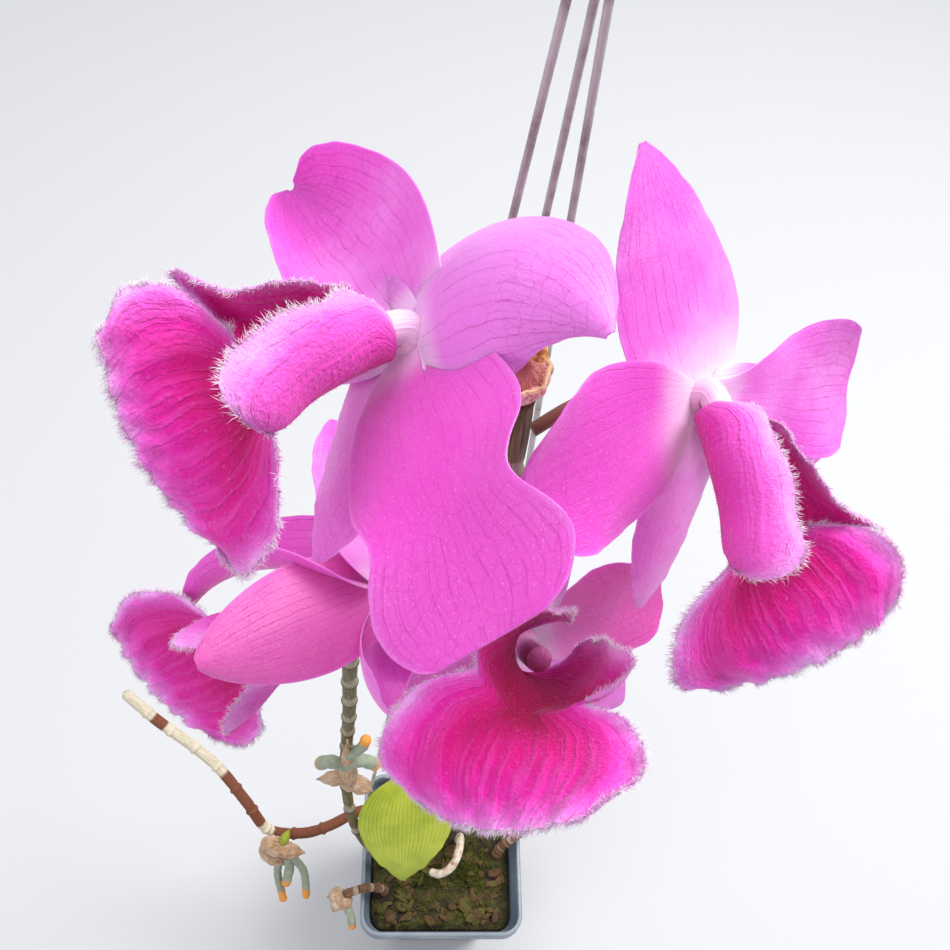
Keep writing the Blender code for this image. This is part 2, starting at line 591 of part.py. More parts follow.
def build_wires(shade):
    for side, point in WIRE_RIM_POINTS.items():
        outward = rim_outward(point)
        rim = Vector((point[0] * POT_RIM_WIDTH / 2, point[1] * POT_RIM_WIDTH / 2, WIRE_HOLE_HEIGHT))
        reach = GAP + WIRE_RADIUS + 0.15 * MM
        path = [rim - outward * 3.6 * MM, rim - outward * 1.5 * MM, rim + outward * (reach - 0.4 * MM),
                rim + outward * reach + Vector((0, 0, 0.9 * MM)), rim + outward * reach + Vector((0, 0, 5 * MM)),
                wire_top(side)]
        tube(f"hanger_wire_{side}", path, [WIRE_RADIUS] * len(path), 6, shade)


def build_hook(shade):
    collar_centre = HOOK_POINT + Vector((0, 0, HOOK_COLLAR_HEIGHT / 2 - 4 * MM))
    collar = cylinder("hanger_hook", collar_centre, (0, 0, 1), HOOK_COLLAR_RADIUS, HOOK_COLLAR_HEIGHT, 12, shade)
    bottom = collar_centre + Vector((0, 0, HOOK_COLLAR_HEIGHT / 2 - 2 * MM))
    path = [bottom, bottom + Vector((0, 0, HOOK_SHANK * 0.7))]
    centre = bottom + Vector((-HOOK_BEND_RADIUS, 0, HOOK_SHANK))
    for angle in range(0, 211, 30):
        turn = math.radians(angle)
        path.append(centre + Vector((math.cos(turn), 0, math.sin(turn))) * HOOK_BEND_RADIUS)
    fuse(collar, [tube("bend", path, [HOOK_WIRE_RADIUS] * len(path), 8, shade)])
    hole = cylinder("wire_hole", HOOK_POINT, (0, 0, 1), HOOK_HOLE_RADIUS, 9 * MM, 10)
    return fuse(collar, [hole], "DIFFERENCE")


# Canes, roots and sheath

def stem_radii(stem, travel):
    """Stops along a stem and its radius at each: a swollen ring at every node and a slight taper between."""
    stops = [0]
    widths = [0.9]
    nodes = int(travel / stem.internode)
    spacing = travel / (nodes + 1)
    for node in range(1, nodes + 1):
        stops += [node * spacing - 0.09 * spacing, node * spacing, node * spacing + 0.09 * spacing]
        widths += [0.95, NODE_SWELL, 1.05]
    stops += [travel - 1.2, travel]
    widths += [0.9, 0.6]
    return np.array(stops), np.array(widths) * stem.radius


def build_stem(name, stem, shade):
    fine, travel = smooth_path(stem.path)
    stops, radii = stem_radii(stem, travel[-1])
    return tube(name, read_path(fine, travel, stops) * MM, radii * MM, stem.sides, shade)


def bulb(piece, shade):
    start, end = Vector(piece.start), Vector(piece.end)
    spots = ((0, 0.45), (0.2, 0.9), (0.45, 1), (0.75, 0.7), (1, 0.2))
    path = [start.lerp(end, spot) * MM for spot, _ in spots]
    return tube("bulb", path, [piece.radius * width * MM for _, width in spots], 8, shade)


def root(piece, shade):
    fine, travel = smooth_path(piece.path)
    stops = np.linspace(0, travel[-1], 6)
    radii = piece.radius * np.array((1, 0.92, 1.04, 0.95, 1, 0.5))
    return tube("root", read_path(fine, travel, stops) * MM, radii * MM, 7, shade)


def add_offshoots(name, body, shade):
    pieces = [bulb(piece, shade) if isinstance(piece, Bulb) else root(piece, shade) for piece in OFFSHOOTS[name]]
    if body is None:
        body = pieces.pop(0)
        body.name = name
    return fuse(body, pieces)


def build_sheath(shade, stub_shade):
    axis = Vector(SHEATH_AXIS).normalized()
    across = axis.orthogonal().normalized()
    other = axis.cross(across)
    sides = 16
    foot = Vector(SHEATH_FOOT)
    rings = []
    for radius, height in SHEATH_PROFILE:
        ring = []
        for side in range(sides):
            angle = 2 * math.pi * side / sides
            around = math.cos(angle) * across + math.sin(angle) * other
            ring.append((foot + axis * height + around * radius) * MM)
        rings.append(ring)
    tip = (foot + axis * (SHEATH_PROFILE[-1][1] + 0.3)) * MM
    loft("cane_tip_sheath", rings, shade, tip=tip)
    path = [Vector(point) * MM for point in STUB_PATH]
    return tube("cane_tip_stub", path, [radius * MM for radius in STUB_RADII], 7, stub_shade)


def build_leaf(body, shade):
    matrix = Matrix.Translation(Vector(LEAF_PLACE) * MM) @ Euler([math.radians(a) for a in LEAF_ROTATION]).to_matrix().to_4x4()
    sheet = tepal_sheet(LEAF, even_rows(BLADE_ROWS), np.linspace(-1, 1, BLADE_COLUMNS), inset=0)
    points, faces = thicken(sheet, BLADE_THICKNESS / MM)
    return fuse(body, [new_object("blade", placed(points, matrix), faces, shade)])


def main():
    for thing in list(bpy.data.objects):
        bpy.data.objects.remove(thing)
    plastic = material("pot_plastic", (0.16, 0.20, 0.23), 0.45)
    wire = material("wire", (0.35, 0.33, 0.32), 0.35, 0.9)
    bark = material("bark_and_moss", (0.10, 0.09, 0.03), 0.95)
    cane = material("cane", (0.42, 0.36, 0.18), 0.6)
    dry_cane = material("dry_cane", (0.62, 0.50, 0.38), 0.7)
    sheath = material("papery_sheath", (0.80, 0.62, 0.48), 0.7)
    stub = material("dried_stub", (0.75, 0.48, 0.18), 0.6)
    skin = material("aerial_root", (0.62, 0.60, 0.48), 0.8)
    leaf = material("leaf", (0.52, 0.62, 0.08), 0.45)
    tepal = material("petal", (0.75, 0.16, 0.55), 0.45)
    lip = material("lip", (0.62, 0.02, 0.30), 0.7)
    build_pot(plastic)
    build_medium(bark)
    build_wires(wire)
    build_hook(wire)
    shades = {"flowering_cane": cane, "left_cane": cane, "old_cane": dry_cane, "leafy_shoot": leaf, "curled_root": skin,
              "rim_stub": dry_cane, "rim_keiki": dry_cane}
    for name, stem in STEMS.items():
        body = build_stem(name, stem, shades[name])
        if name in OFFSHOOTS:
            add_offshoots(name, body, shades[name])
        if name == "leafy_shoot":
            build_leaf(body, leaf)
    add_offshoots("old_keiki", None, dry_cane)
    add_offshoots("left_keiki", None, skin)
    build_sheath(sheath, stub)
    for key, bloom in BLOOMS.items():
        build_bloom(key, bloom, tepal, lip)


if __name__ == "__main__":
    main()
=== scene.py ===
"""Dendrobium orchid in bloom in its square hanging pot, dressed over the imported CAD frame. Metres, +Z up."""
import math
import random
from collections import namedtuple

import bmesh
import bpy
import numpy as np
from mathutils import Euler, Matrix, Vector


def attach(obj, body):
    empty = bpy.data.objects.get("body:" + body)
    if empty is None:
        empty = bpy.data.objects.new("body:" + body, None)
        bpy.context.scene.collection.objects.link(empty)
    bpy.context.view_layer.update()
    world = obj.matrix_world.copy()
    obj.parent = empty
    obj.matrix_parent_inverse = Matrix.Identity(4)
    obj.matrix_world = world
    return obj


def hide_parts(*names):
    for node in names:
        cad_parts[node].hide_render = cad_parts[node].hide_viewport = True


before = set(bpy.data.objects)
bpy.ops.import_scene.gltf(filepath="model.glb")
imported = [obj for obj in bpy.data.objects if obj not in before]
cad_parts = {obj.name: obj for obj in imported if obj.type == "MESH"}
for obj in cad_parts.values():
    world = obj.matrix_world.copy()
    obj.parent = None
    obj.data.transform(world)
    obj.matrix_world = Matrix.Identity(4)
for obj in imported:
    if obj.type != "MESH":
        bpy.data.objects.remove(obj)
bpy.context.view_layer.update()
MM = 0.001


# The photographer's place: a pale floor, a soft light over the right shoulder, a weaker one from the left,
# and the camera just above the blooms, looking steeply down on the pot.

CAMERA_PLACE = (-0.0291, -0.1424, 0.631)
CAMERA_RIGHT = Vector((0.9968, -0.0145, 0.078))
CAMERA_UP = Vector((-0.0307, 0.8362, 0.5476))
FOCAL_PIXELS = 1100
PHOTO_PIXELS = 950
SENSOR_WIDTH = 36
FLOOR_HALF = 6.0

scene = bpy.context.scene
scene.view_settings.view_transform = "Standard"

camera_data = bpy.data.cameras.new("camera")
camera_data.sensor_width = SENSOR_WIDTH
camera_data.lens = FOCAL_PIXELS / PHOTO_PIXELS * SENSOR_WIDTH
camera_data.clip_start = 0.005
camera = bpy.data.objects.new("camera", camera_data)
camera_back = CAMERA_RIGHT.cross(CAMERA_UP).normalized()
camera.matrix_world = Matrix.Translation(CAMERA_PLACE) @ Matrix((CAMERA_RIGHT, CAMERA_UP, camera_back)).transposed().to_4x4()
scene.collection.objects.link(camera)
scene.camera = camera

floor_mesh = bpy.data.meshes.new("floor")
floor_mesh.from_pydata([(-FLOOR_HALF, -FLOOR_HALF, 0), (FLOOR_HALF, -FLOOR_HALF, 0), (FLOOR_HALF, FLOOR_HALF, 0),
                        (-FLOOR_HALF, FLOOR_HALF, 0)], [], [(0, 1, 2, 3)])
floor = bpy.data.objects.new("floor", floor_mesh)
floor_paint = bpy.data.materials.new("floor_paint")
floor_paint.use_nodes = True
floor_paint.node_tree.nodes["Principled BSDF"].inputs["Base Color"].default_value = (0.62, 0.62, 0.63, 1)
floor_paint.node_tree.nodes["Principled BSDF"].inputs["Roughness"].default_value = 0.9
floor_mesh.materials.append(floor_paint)
scene.collection.objects.link(floor)

world = bpy.data.worlds.new("studio")
scene.world = world
world.use_nodes = True
world.node_tree.nodes["Background"].inputs["Color"].default_value = (0.9, 0.93, 1.0, 1)
world.node_tree.nodes["Background"].inputs["Strength"].default_value = 0.55

for light_name, light_place, light_size, light_power in (
        ("key", (0.75, 0.35, 1.35), 0.7, 19), ("fill", (-1.1, -0.9, 0.9), 1.2, 8), ("top", (-0.2, 0.5, 1.7), 1.0, 9)):
    light_data = bpy.data.lights.new(light_name, "AREA")
    light_data.size = light_size
    light_data.energy = light_power
    light = bpy.data.objects.new(light_name, light_data)
    light.location = light_place
    light.rotation_euler = (Vector(light_place) - Vector((0, -0.03, 0.45))).to_track_quat("Z", "Y").to_euler()
    scene.collection.objects.link(light)


# The pot: one thin moulding of blue-grey plastic, square with round corners, with a deep rim band
# and four drain holes. Handling has left fine scratches, and the colour grows paler towards the top of the rim.

class Shade:
    """A value that varies over a surface, as Python arithmetic on a shader node's output."""

    def __init__(self, finish, socket):
        self.finish = finish
        self.socket = socket

    def _math(self, operation, first, second):
        return self.finish.node("Math", {"operation": operation}, first, second)

    def __add__(self, other):
        return self._math("ADD", self, other)

    __radd__ = __add__

    def __sub__(self, other):
        return self._math("SUBTRACT", self, other)

    def __rsub__(self, other):
        return self._math("SUBTRACT", other, self)

    def __mul__(self, other):
        return self._math("MULTIPLY", self, other)

    __rmul__ = __mul__

    def __truediv__(self, other):
        return self._math("DIVIDE", self, other)

    def __pow__(self, other):
        return self._math("POWER", self, other)

    def __abs__(self):
        return self._math("ABSOLUTE", self, 0)


class Finish:
    """A procedural material: nodes are added by type, and its fixed settings go straight on the surface shader."""

    def __init__(self, name, **fixed):
        self.material = bpy.data.materials.new(name)
        self.material.use_nodes = True
        self.tree = self.material.node_tree
        self.surface = self.tree.nodes["Principled BSDF"]
        self.set(**fixed)

    def feed(self, socket, value):
        if isinstance(value, Shade):
            self.tree.links.new(value.socket, socket)
        elif isinstance(value, tuple) and socket.type == "RGBA":
            socket.default_value = (*value, 1)
        else:
            socket.default_value = value

    def set(self, **sockets):
        for name, value in sockets.items():
            self.feed(self.surface.inputs[name.replace("_", " ")], value)

    def node(self, kind, settings, *values, out=0, **sockets):
        made = self.tree.nodes.new("ShaderNode" + kind)
        for name, value in settings.items():
            if name == "stops":
                for extra in range(len(value) - 2):
                    made.color_ramp.elements.new(0.5)
                for stop, (position, colour) in zip(made.color_ramp.elements, value):
                    stop.position = position
                    stop.color = (*colour, 1)
            else:
                setattr(made, name, value)
        for index, value in enumerate(values):
            self.feed(made.inputs[index], value)
        for name, value in sockets.items():
            self.feed(made.inputs[name.replace("_", " ")], value)
        return Shade(self, made.outputs[out])

    def noise(self, where, scale, detail=3, rough=0.55):
        return self.node("TexNoise", {}, Vector=where, Scale=scale, Detail=detail, Roughness=rough)

    def remap(self, value, low, high, to_low=0.0, to_high=1.0):
        return self.node("MapRange", {"interpolation_type": "SMOOTHSTEP"}, value, low, high, to_low, to_high)

    def mix(self, factor, first, second, blend="MIX"):
        made = self.tree.nodes.new("ShaderNodeMix")
        made.data_type = "RGBA"
        made.blend_type = blend
        self.feed(made.inputs[0], factor)
        self.feed(made.inputs[6], first)
        self.feed(made.inputs[7], second)
        return Shade(self, made.outputs[2])

    def bump(self, height, distance, strength=1.0):
        self.set(Normal=self.node("Bump", {}, Strength=strength, Distance=distance, Height=height))

    def place(self):
        return self.node("TexCoord", {}, out="Object")

    def stored(self, name, part=None):
        vector = self.node("Attribute", {"attribute_name": name}, out="Vector")
        return vector if part is None else self.node("SeparateXYZ", {}, vector, out=part)

    def vector(self, x, y, z):
        return self.node("CombineXYZ", {}, x, y, z)


def colour(red, green, blue):
    """A colour as seen on screen, 0 to 255, made linear."""
    return tuple(((part / 255 + 0.055) / 1.055) ** 2.4 if part > 10 else part / 3295 for part in (red, green, blue))


def make_piece(name, points, faces, finish, slot, replaces=(), sharp_angle=40, stored=None):
    """A mesh object that rides on the part, with its finish, smooth shading and stored coordinates. The slot is not
    used.
    """
    mesh = bpy.data.meshes.new(name)
    mesh.from_pydata([tuple(point) for point in points], [], faces)
    mesh.update()
    mesh.polygons.foreach_set("use_smooth", [True] * len(mesh.polygons))
    mesh.set_sharp_from_angle(angle=math.radians(sharp_angle))
    for attribute, values in (stored or {}).items():
        layer = mesh.attributes.new(attribute, "FLOAT_VECTOR", "POINT")
        layer.data.foreach_set("vector", np.asarray(values, np.float32).ravel())
    mesh.materials.append(finish.material)
    thing = bpy.data.objects.new(name, mesh)
    scene.collection.objects.link(thing)
    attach(thing, "root")
    if replaces:
        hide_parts(*replaces)
    return thing


def rounded_square(width, corner, height, steps):
    """One ring of points of a square with round corners, anticlockwise from above."""
    ring = []
    for quarter in range(4):
        turn = math.radians(90 * quarter + 45)
        centre = (width / 2 - corner) * math.sqrt(2)
        for step in range(steps + 1):
            angle = math.radians(90 * quarter + 90 * step / steps)
            ring.append((centre * math.cos(turn) + corner * math.cos(angle),
                         centre * math.sin(turn) + corner * math.sin(angle), height))
    return ring


def solid_of_rings(rings):
    """Points and faces of a closed solid through rings of points, the first facing down."""
    count = len(rings[0])
    points = [point for ring in rings for point in ring]
    faces = [tuple(reversed(range(count)))]
    for ring in range(len(rings) - 1):
        for side in range(count):
            a = ring * count + side
            b = ring * count + (side + 1) % count
            faces.append((a, b, b + count, a + count))
    faces.append(tuple(range(len(points) - count, len(points))))
    return points, faces


POT_HEIGHT = 75
POT_RIM_WIDTH = 78
POT_MOUTH_WIDTH = 74
POT_BASE_WIDTH = 54
POT_WALL = 1.4
POT_FLOOR = 2.0
POT_RIM_DEPTH = 8
POT_CORNER = 9
POT_STEPS = 9
DRAIN_OFFSET = 17
DRAIN_RADIUS = 4

plastic = Finish("pot_plastic", Roughness=0.42, Specular_IOR_Level=0.5)
pot_place = plastic.place()
pot_dust = plastic.remap(plastic.noise(pot_place, 60, 5), 0.45, 0.75)
pot_scuff = plastic.noise(plastic.node("Mapping", {}, pot_place, Scale=(900, 900, 60)), 1, 2)
pot_height_share = plastic.node("SeparateXYZ", {}, pot_place, out="Z")
# Paler grey towards the top of the rim, by height alone.
pot_rim_pale = plastic.remap(pot_height_share + pot_dust * 0.004, 0.071, 0.0765)
pot_colour = plastic.mix(pot_dust * 0.4, colour(106, 118, 132), colour(140, 150, 160))
plastic.set(Base_Color=plastic.mix(pot_rim_pale * 0.4, pot_colour, colour(168, 176, 180)),
            Roughness=plastic.remap(pot_scuff, 0.35, 0.7, 0.34, 0.55))
plastic.bump(pot_scuff * 0.4 + plastic.noise(pot_place, 2200, 2) * 0.6, 0.00008)

body_top = POT_HEIGHT - POT_RIM_DEPTH
shoulder = POT_MOUTH_WIDTH - 0.6
pot_profile = (
    (POT_BASE_WIDTH - 8, POT_CORNER - 4, 1.0), (POT_BASE_WIDTH - 7, POT_CORNER - 3.5, 0.0),
    (POT_BASE_WIDTH - 1.2, POT_CORNER - 0.6, 0.0), (POT_BASE_WIDTH, POT_CORNER, 0.7),
    (shoulder, POT_CORNER, body_top - 0.4), (shoulder + 0.3, POT_CORNER, body_top),
    (POT_RIM_WIDTH - 0.8, POT_CORNER + 0.6, body_top), (POT_RIM_WIDTH, POT_CORNER + 1, body_top + 0.5),
    (POT_RIM_WIDTH, POT_CORNER + 1, POT_HEIGHT - 0.8), (POT_RIM_WIDTH - 0.4, POT_CORNER + 0.8, POT_HEIGHT - 0.25),
    (POT_RIM_WIDTH - 1.2, POT_CORNER + 0.4, POT_HEIGHT), (POT_MOUTH_WIDTH + 0.8, POT_CORNER - 0.6, POT_HEIGHT),
    (POT_MOUTH_WIDTH, POT_CORNER - 1, POT_HEIGHT - 0.5), (POT_MOUTH_WIDTH, POT_CORNER - 1, body_top + 1.5),
    (shoulder - 2 * POT_WALL, POT_CORNER - 1.4, body_top - 0.5),
    (POT_BASE_WIDTH - 2 * POT_WALL, POT_CORNER - 1.4, POT_FLOOR + 0.5), (POT_BASE_WIDTH - 6, POT_CORNER - 3, POT_FLOOR),
)
pot_rings = []
for pot_width, pot_corner, pot_z in pot_profile:
    pot_rings.append([tuple(part * MM for part in point)
                      for point in rounded_square(pot_width, pot_corner, pot_z, POT_STEPS)])
pot = make_piece("pot_shell", *solid_of_rings(pot_rings), plastic, "pot_plastic", ("pot",), sharp_angle=50)


def cut_holes(thing, cutters):
    """Bore the cutters out of a piece with one Boolean, applied to its mesh."""
    group = bpy.data.collections.new("cutters")
    scene.collection.children.link(group)
    for cutter in cutters:
        group.objects.link(cutter)
    step = thing.modifiers.new("holes", "BOOLEAN")
    step.operation = "DIFFERENCE"
    step.solver = "EXACT"
    step.operand_type = "COLLECTION"
    step.collection = group
    bored = bpy.data.meshes.new_from_object(thing.evaluated_get(bpy.context.evaluated_depsgraph_get()))
    thing.modifiers.clear()
    thing.data = bored
    for cutter in cutters:
        bpy.data.objects.remove(cutter)
    bpy.data.collections.remove(group)


def drill(place, direction, radius, length, sides=24):
    """A loose round cutter, in mm, centred on its place."""
    work = bmesh.new()
    bmesh.ops.create_cone(work, cap_ends=True, segments=sides, radius1=radius * MM, radius2=radius * MM,
                          depth=length * MM)
    mesh = bpy.data.meshes.new("drill")
    work.to_mesh(mesh)
    work.free()
    tool = bpy.data.objects.new("drill", mesh)
    tool.matrix_world = Matrix.Translation(Vector(place) * MM) @ Vector(direction).to_track_quat("Z", "Y").to_matrix().to_4x4()
    return tool


WIRE_HOLE_HEIGHT = 71
WIRE_RIM_POINTS = {"left": (-1.0, 0.28), "back_left": (-0.29, 1.0), "back_right": (0.43, 1.0)}
WIRE_OUTWARD = {"left": Vector((-1, 0, 0)), "back_left": Vector((0, 1, 0)), "back_right": Vector((0, 1, 0))}
pot_drills = [drill((x, y, 0), (0, 0, 1), DRAIN_RADIUS, 9) for x in (-DRAIN_OFFSET, DRAIN_OFFSET)
              for y in (-DRAIN_OFFSET, DRAIN_OFFSET)]
for side, (x, y) in WIRE_RIM_POINTS.items():
    pot_drills.append(drill((x * POT_RIM_WIDTH / 2, y * POT_RIM_WIDTH / 2, WIRE_HOLE_HEIGHT), WIRE_OUTWARD[side], 1.2, 8))
cut_holes(pot, pot_drills)


# The growing medium: bark chips and old root bits packed into the pot to just under its rim, damp and dark,
# with moss and algae grown over them.

MEDIUM_TOP = 66
MEDIUM_STEPS = 46
BARK_CHIPS = 190
MOSS_TUFTS = 420

damp = Finish("damp_bark", Roughness=0.85, Specular_IOR_Level=0.35)
damp_place = damp.place()
damp_patch = damp.remap(damp.noise(damp_place, 95, 4), 0.42, 0.62)
damp_fine = damp.noise(damp_place, 900, 4)
damp_colour = damp.mix(damp_patch, colour(44, 34, 20), colour(72, 70, 26))
damp.set(Base_Color=damp.mix(damp.remap(damp_fine, 0.55, 0.8), damp_colour, colour(116, 98, 62)),
         Roughness=damp.remap(damp_fine, 0.3, 0.7, 0.55, 0.95))
damp.bump(damp_fine, 0.0007)


def inner_half(height):
    """Half the width of the space inside the pot at a height."""
    base = POT_BASE_WIDTH / 2 - POT_WALL
    top = shoulder / 2 - POT_WALL
    return base + (top - base) * (height - POT_FLOOR) / (body_top - POT_FLOOR) - 0.5


medium_dice = random.Random(11)
medium_rings = [[tuple(part * MM for part in point) for point in rounded_square(2 * inner_half(z), POT_CORNER - 1.8, z, 6)]
                for z in (POT_FLOOR + 0.4, 20, 40, 58, MEDIUM_TOP - 4)]
for shrink, rise in ((0.97, 0), (0.88, 0), (0.75, 1), (0.6, 1), (0.45, 1), (0.3, 0), (0.14, 0)):
    ring = []
    for point in rounded_square(2 * inner_half(MEDIUM_TOP - 4) * shrink, (POT_CORNER - 1.8) * shrink, MEDIUM_TOP - 2, 6):
        lift = medium_dice.uniform(-1.6, 1.6) + rise
        ring.append((point[0] * MM, point[1] * MM, (point[2] + lift) * MM))
    medium_rings.append(ring)
make_piece("medium_core", *solid_of_rings(medium_rings), damp, "growing_medium", ("growing_medium",), sharp_angle=80)

bark = Finish("bark_chips", Roughness=0.8, Specular_IOR_Level=0.3)
bark_place = bark.place()
bark_grain = bark.noise(bark.node("Mapping", {}, bark_place, Scale=(300, 900, 1400)), 1, 4)
bark_moss = bark.remap(bark.noise(bark_place, 140, 3), 0.47, 0.62)
bark_colour = bark.mix(bark_grain, colour(48, 30, 18), colour(118, 88, 58))
bark.set(Base_Color=bark.mix(bark_moss * 0.7, bark_colour, colour(84, 88, 30)),
         Roughness=bark.remap(bark_grain, 0.3, 0.7, 0.6, 0.95))
bark.bump(bark_grain, 0.0006)


def chunk(dice, centre, half, tilt=0.5):
    """Points and faces of one split chip: an irregular six-sided slab."""
    turn = Euler((dice.uniform(-tilt, tilt), dice.uniform(-tilt, tilt), dice.uniform(0, 6.28))).to_matrix()
    outline = [(math.cos(a + dice.uniform(-0.25, 0.25)) * dice.uniform(0.75, 1.1),
                math.sin(a + dice.uniform(-0.25, 0.25)) * dice.uniform(0.75, 1.1)) for a in np.arange(0, 6.28, 6.2832 / 7)]
    rings = []
    for z, shrink in ((-1, 0.75), (-0.5, 0.98), (0.45, 1.0), (1, 0.72)):
        rings.append([centre + turn @ Vector((half.x * x * shrink, half.y * y * shrink, half.z * (z + dice.uniform(-0.15, 0.15))))
                      for x, y in outline])
    return solid_of_rings([[tuple(point * MM) for point in ring] for ring in rings])


def gather(parts):
    """Join several (points, faces) into one."""
    points, faces = [], []
    for some_points, some_faces in parts:
        start = len(points)
        points += list(some_points)
        faces += [tuple(corner + start for corner in face) for face in some_faces]
    return points, faces


STEM_FEET = ((1.6, 12, 4.5), (-29, -3, 4), (-24, 19, 4.5), (-14, 14, 3), (9, 8, 3.5), (28.5, 2, 4), (-28, -17, 3.5))


def clear_of_stems(x, y, reach):
    return all(math.hypot(x - foot_x, y - foot_y) > foot_radius + reach for foot_x, foot_y, foot_radius in STEM_FEET)


chips = []
while len(chips) < BARK_CHIPS:
    chip_x = medium_dice.uniform(-31, 31)
    chip_y = medium_dice.uniform(-31, 31)
    chip_half = Vector((medium_dice.uniform(1.6, 5.2), medium_dice.uniform(1.0, 3.0), medium_dice.uniform(0.6, 1.5)))
    if clear_of_stems(chip_x, chip_y, chip_half.x * 0.6) and max(abs(chip_x), abs(chip_y)) + chip_half.x < 34:
        chip_centre = Vector((chip_x, chip_y, MEDIUM_TOP - 1.5 + medium_dice.uniform(-1, 1.6)))
        chips.append(chunk(medium_dice, chip_centre, chip_half))
make_piece("bark_chips", *gather(chips), bark, "growing_medium", sharp_angle=35)

moss = Finish("moss", Roughness=0.75, Specular_IOR_Level=0.3)
moss_place = moss.place()
moss_tone = moss.noise(moss_place, 260, 3)
moss.set(Base_Color=moss.node("ValToRGB", {"stops": ((0.3, colour(60, 66, 18)), (0.55, colour(104, 112, 32)),
                                                     (0.75, colour(150, 146, 60)))}, moss_tone))
moss.bump(moss.noise(moss_place, 4000, 2), 0.0002)


def spikes(roots, directions, lengths, widths, bend=0.25, seed=1):
    """Thin three-sided tapered hairs in two lengths each, as arrays of points and faces, all in metres."""
    count = len(roots)
    roots = np.asarray(roots, float)
    directions = np.asarray(directions, float)
    directions /= np.linalg.norm(directions, axis=1)[:, None]
    dice = np.random.default_rng(seed)
    sideways = np.cross(directions, dice.normal(size=(count, 3)))
    sideways /= np.linalg.norm(sideways, axis=1)[:, None]
    other = np.cross(directions, sideways)
    middle = roots + directions * (lengths * 0.55)[:, None]
    tips = roots + directions * lengths[:, None] + sideways * (lengths * bend * dice.uniform(0, 1, count))[:, None]
    rings = []
    for centre, shrink in ((roots, 1.0), (middle, 0.7)):
        for turn in (0, 2.0944, 4.1888):
            around = math.cos(turn) * sideways + math.sin(turn) * other
            rings.append(centre + around * (widths * shrink)[:, None])
    points = np.stack(rings + [tips], axis=1).reshape(-1, 3)
    pattern = [(0, 1, 4), (0, 4, 3), (1, 2, 5), (1, 5, 4), (2, 0, 3), (2, 3, 5), (3, 4, 6), (4, 5, 6), (5, 3, 6), (2, 1, 0)]
    faces = (np.arange(count)[:, None, None] * 7 + np.array(pattern)[None]).reshape(-1, 3)
    return points, faces.tolist()


moss_roots = []
moss_ways = []
while len(moss_roots) < MOSS_TUFTS * 16:
    tuft_x = medium_dice.gauss(4, 18)
    tuft_y = medium_dice.gauss(-4, 17)
    if max(abs(tuft_x), abs(tuft_y)) < 33 and clear_of_stems(tuft_x, tuft_y, 1.5):
        for blade in range(16):
            moss_roots.append(((tuft_x + medium_dice.gauss(0, 1.0)) * MM, (tuft_y + medium_dice.gauss(0, 1.0)) * MM,
                               (MEDIUM_TOP - 1.2 + medium_dice.uniform(0, 1.2)) * MM))
            moss_ways.append((medium_dice.gauss(0, 0.6), medium_dice.gauss(0, 0.6), 1))
moss_lengths = np.random.default_rng(3).uniform(0.8, 2.2, len(moss_roots)) * MM
make_piece("moss", *spikes(moss_roots, moss_ways, moss_lengths, np.full(len(moss_roots), 0.16 * MM), 0.4, 4), moss,
           "growing_medium", sharp_angle=80)


# The hanger: three dull galvanised wires, each bent through a hole in the rim, that run up past the
# blooms and are gathered in the collar of one hook.

WIRE_RADIUS = 0.75
WIRE_TOP_OFFSETS = {"left": (-1.4, 0.2), "back_left": (0.9, 0.9), "back_right": (0.1, -1.2)}
HOOK_POINT = Vector((-3, -6, 584))
HOOK_COLLAR_RADIUS = 4.6
HOOK_COLLAR_HEIGHT = 9
HOOK_WIRE_RADIUS = 1.1
HOOK_BEND_RADIUS = 11
HOOK_SHANK = 18
HOOK_HOLE_RADIUS = 2.7

metal = Finish("galvanised_wire", Metallic=0.4, Roughness=0.4)
metal_place = metal.place()
metal_stain = metal.remap(metal.noise(metal_place, 160, 5), 0.4, 0.7)
metal_draw = metal.noise(metal.node("Mapping", {}, metal_place, Scale=(2500, 2500, 90)), 1, 2)
metal.set(Base_Color=metal.mix(metal_stain, colour(196, 188, 190), colour(150, 138, 136)),
          Roughness=metal.remap(metal_draw, 0.3, 0.7, 0.3, 0.55))
metal.bump(metal_draw, 0.00006)


def smooth_path(points, steps=24):
    """A Catmull-Rom curve through the points, with the length travelled at each of its fine points."""
    knots = np.array(points, float)
    ends = np.vstack((2 * knots[0] - knots[1], knots, 2 * knots[-1] - knots[-2]))
    fine = []
    for a, b, c, d in zip(ends, ends[1:], ends[2:], ends[3:]):
        for t in np.linspace(0, 1, steps, endpoint=False):
            fine.append(0.5 * (2 * b + (c - a) * t + (2 * a - 5 * b + 4 * c - d) * t * t
                               + (3 * b - a - 3 * c + d) * t ** 3))
    fine.append(knots[-1])
    fine = np.array(fine)
    travel = np.concatenate(((0,), np.cumsum(np.linalg.norm(np.diff(fine, axis=0), axis=1))))
    return fine, travel


def tube(path, stops, radius_at, sides):
    """Points, faces and stored (distance, cosine, sine) of a closed tube in mm along a path.

    radius_at(distance, angle) gives the radius at each stop for an array of angles.
    """
    fine, travel = smooth_path(path)
    centres = np.column_stack([np.interp(stops, travel, fine[:, axis]) for axis in range(3)])
    ahead = np.gradient(centres, axis=0)
    angles = np.arange(sides) * 2 * math.pi / sides
    points, stored = [], []
    across = Vector(ahead[0]).orthogonal().normalized()
    for centre, direction, stop in zip(centres, ahead, stops):
        direction = Vector(direction).normalized()
        across = (across - across.project(direction)).normalized()
        other = direction.cross(across)
        radii = radius_at(stop, angles)
        around = np.cos(angles)[:, None] * np.array(across) + np.sin(angles)[:, None] * np.array(other)
        points.append((centre + around * np.broadcast_to(radii, sides)[:, None]) * MM)
        stored.append(np.column_stack((np.full(sides, stop), np.cos(angles), np.sin(angles))))
    points, faces = solid_of_rings([list(map(tuple, ring)) for ring in points])
    return points, faces, np.concatenate(stored)


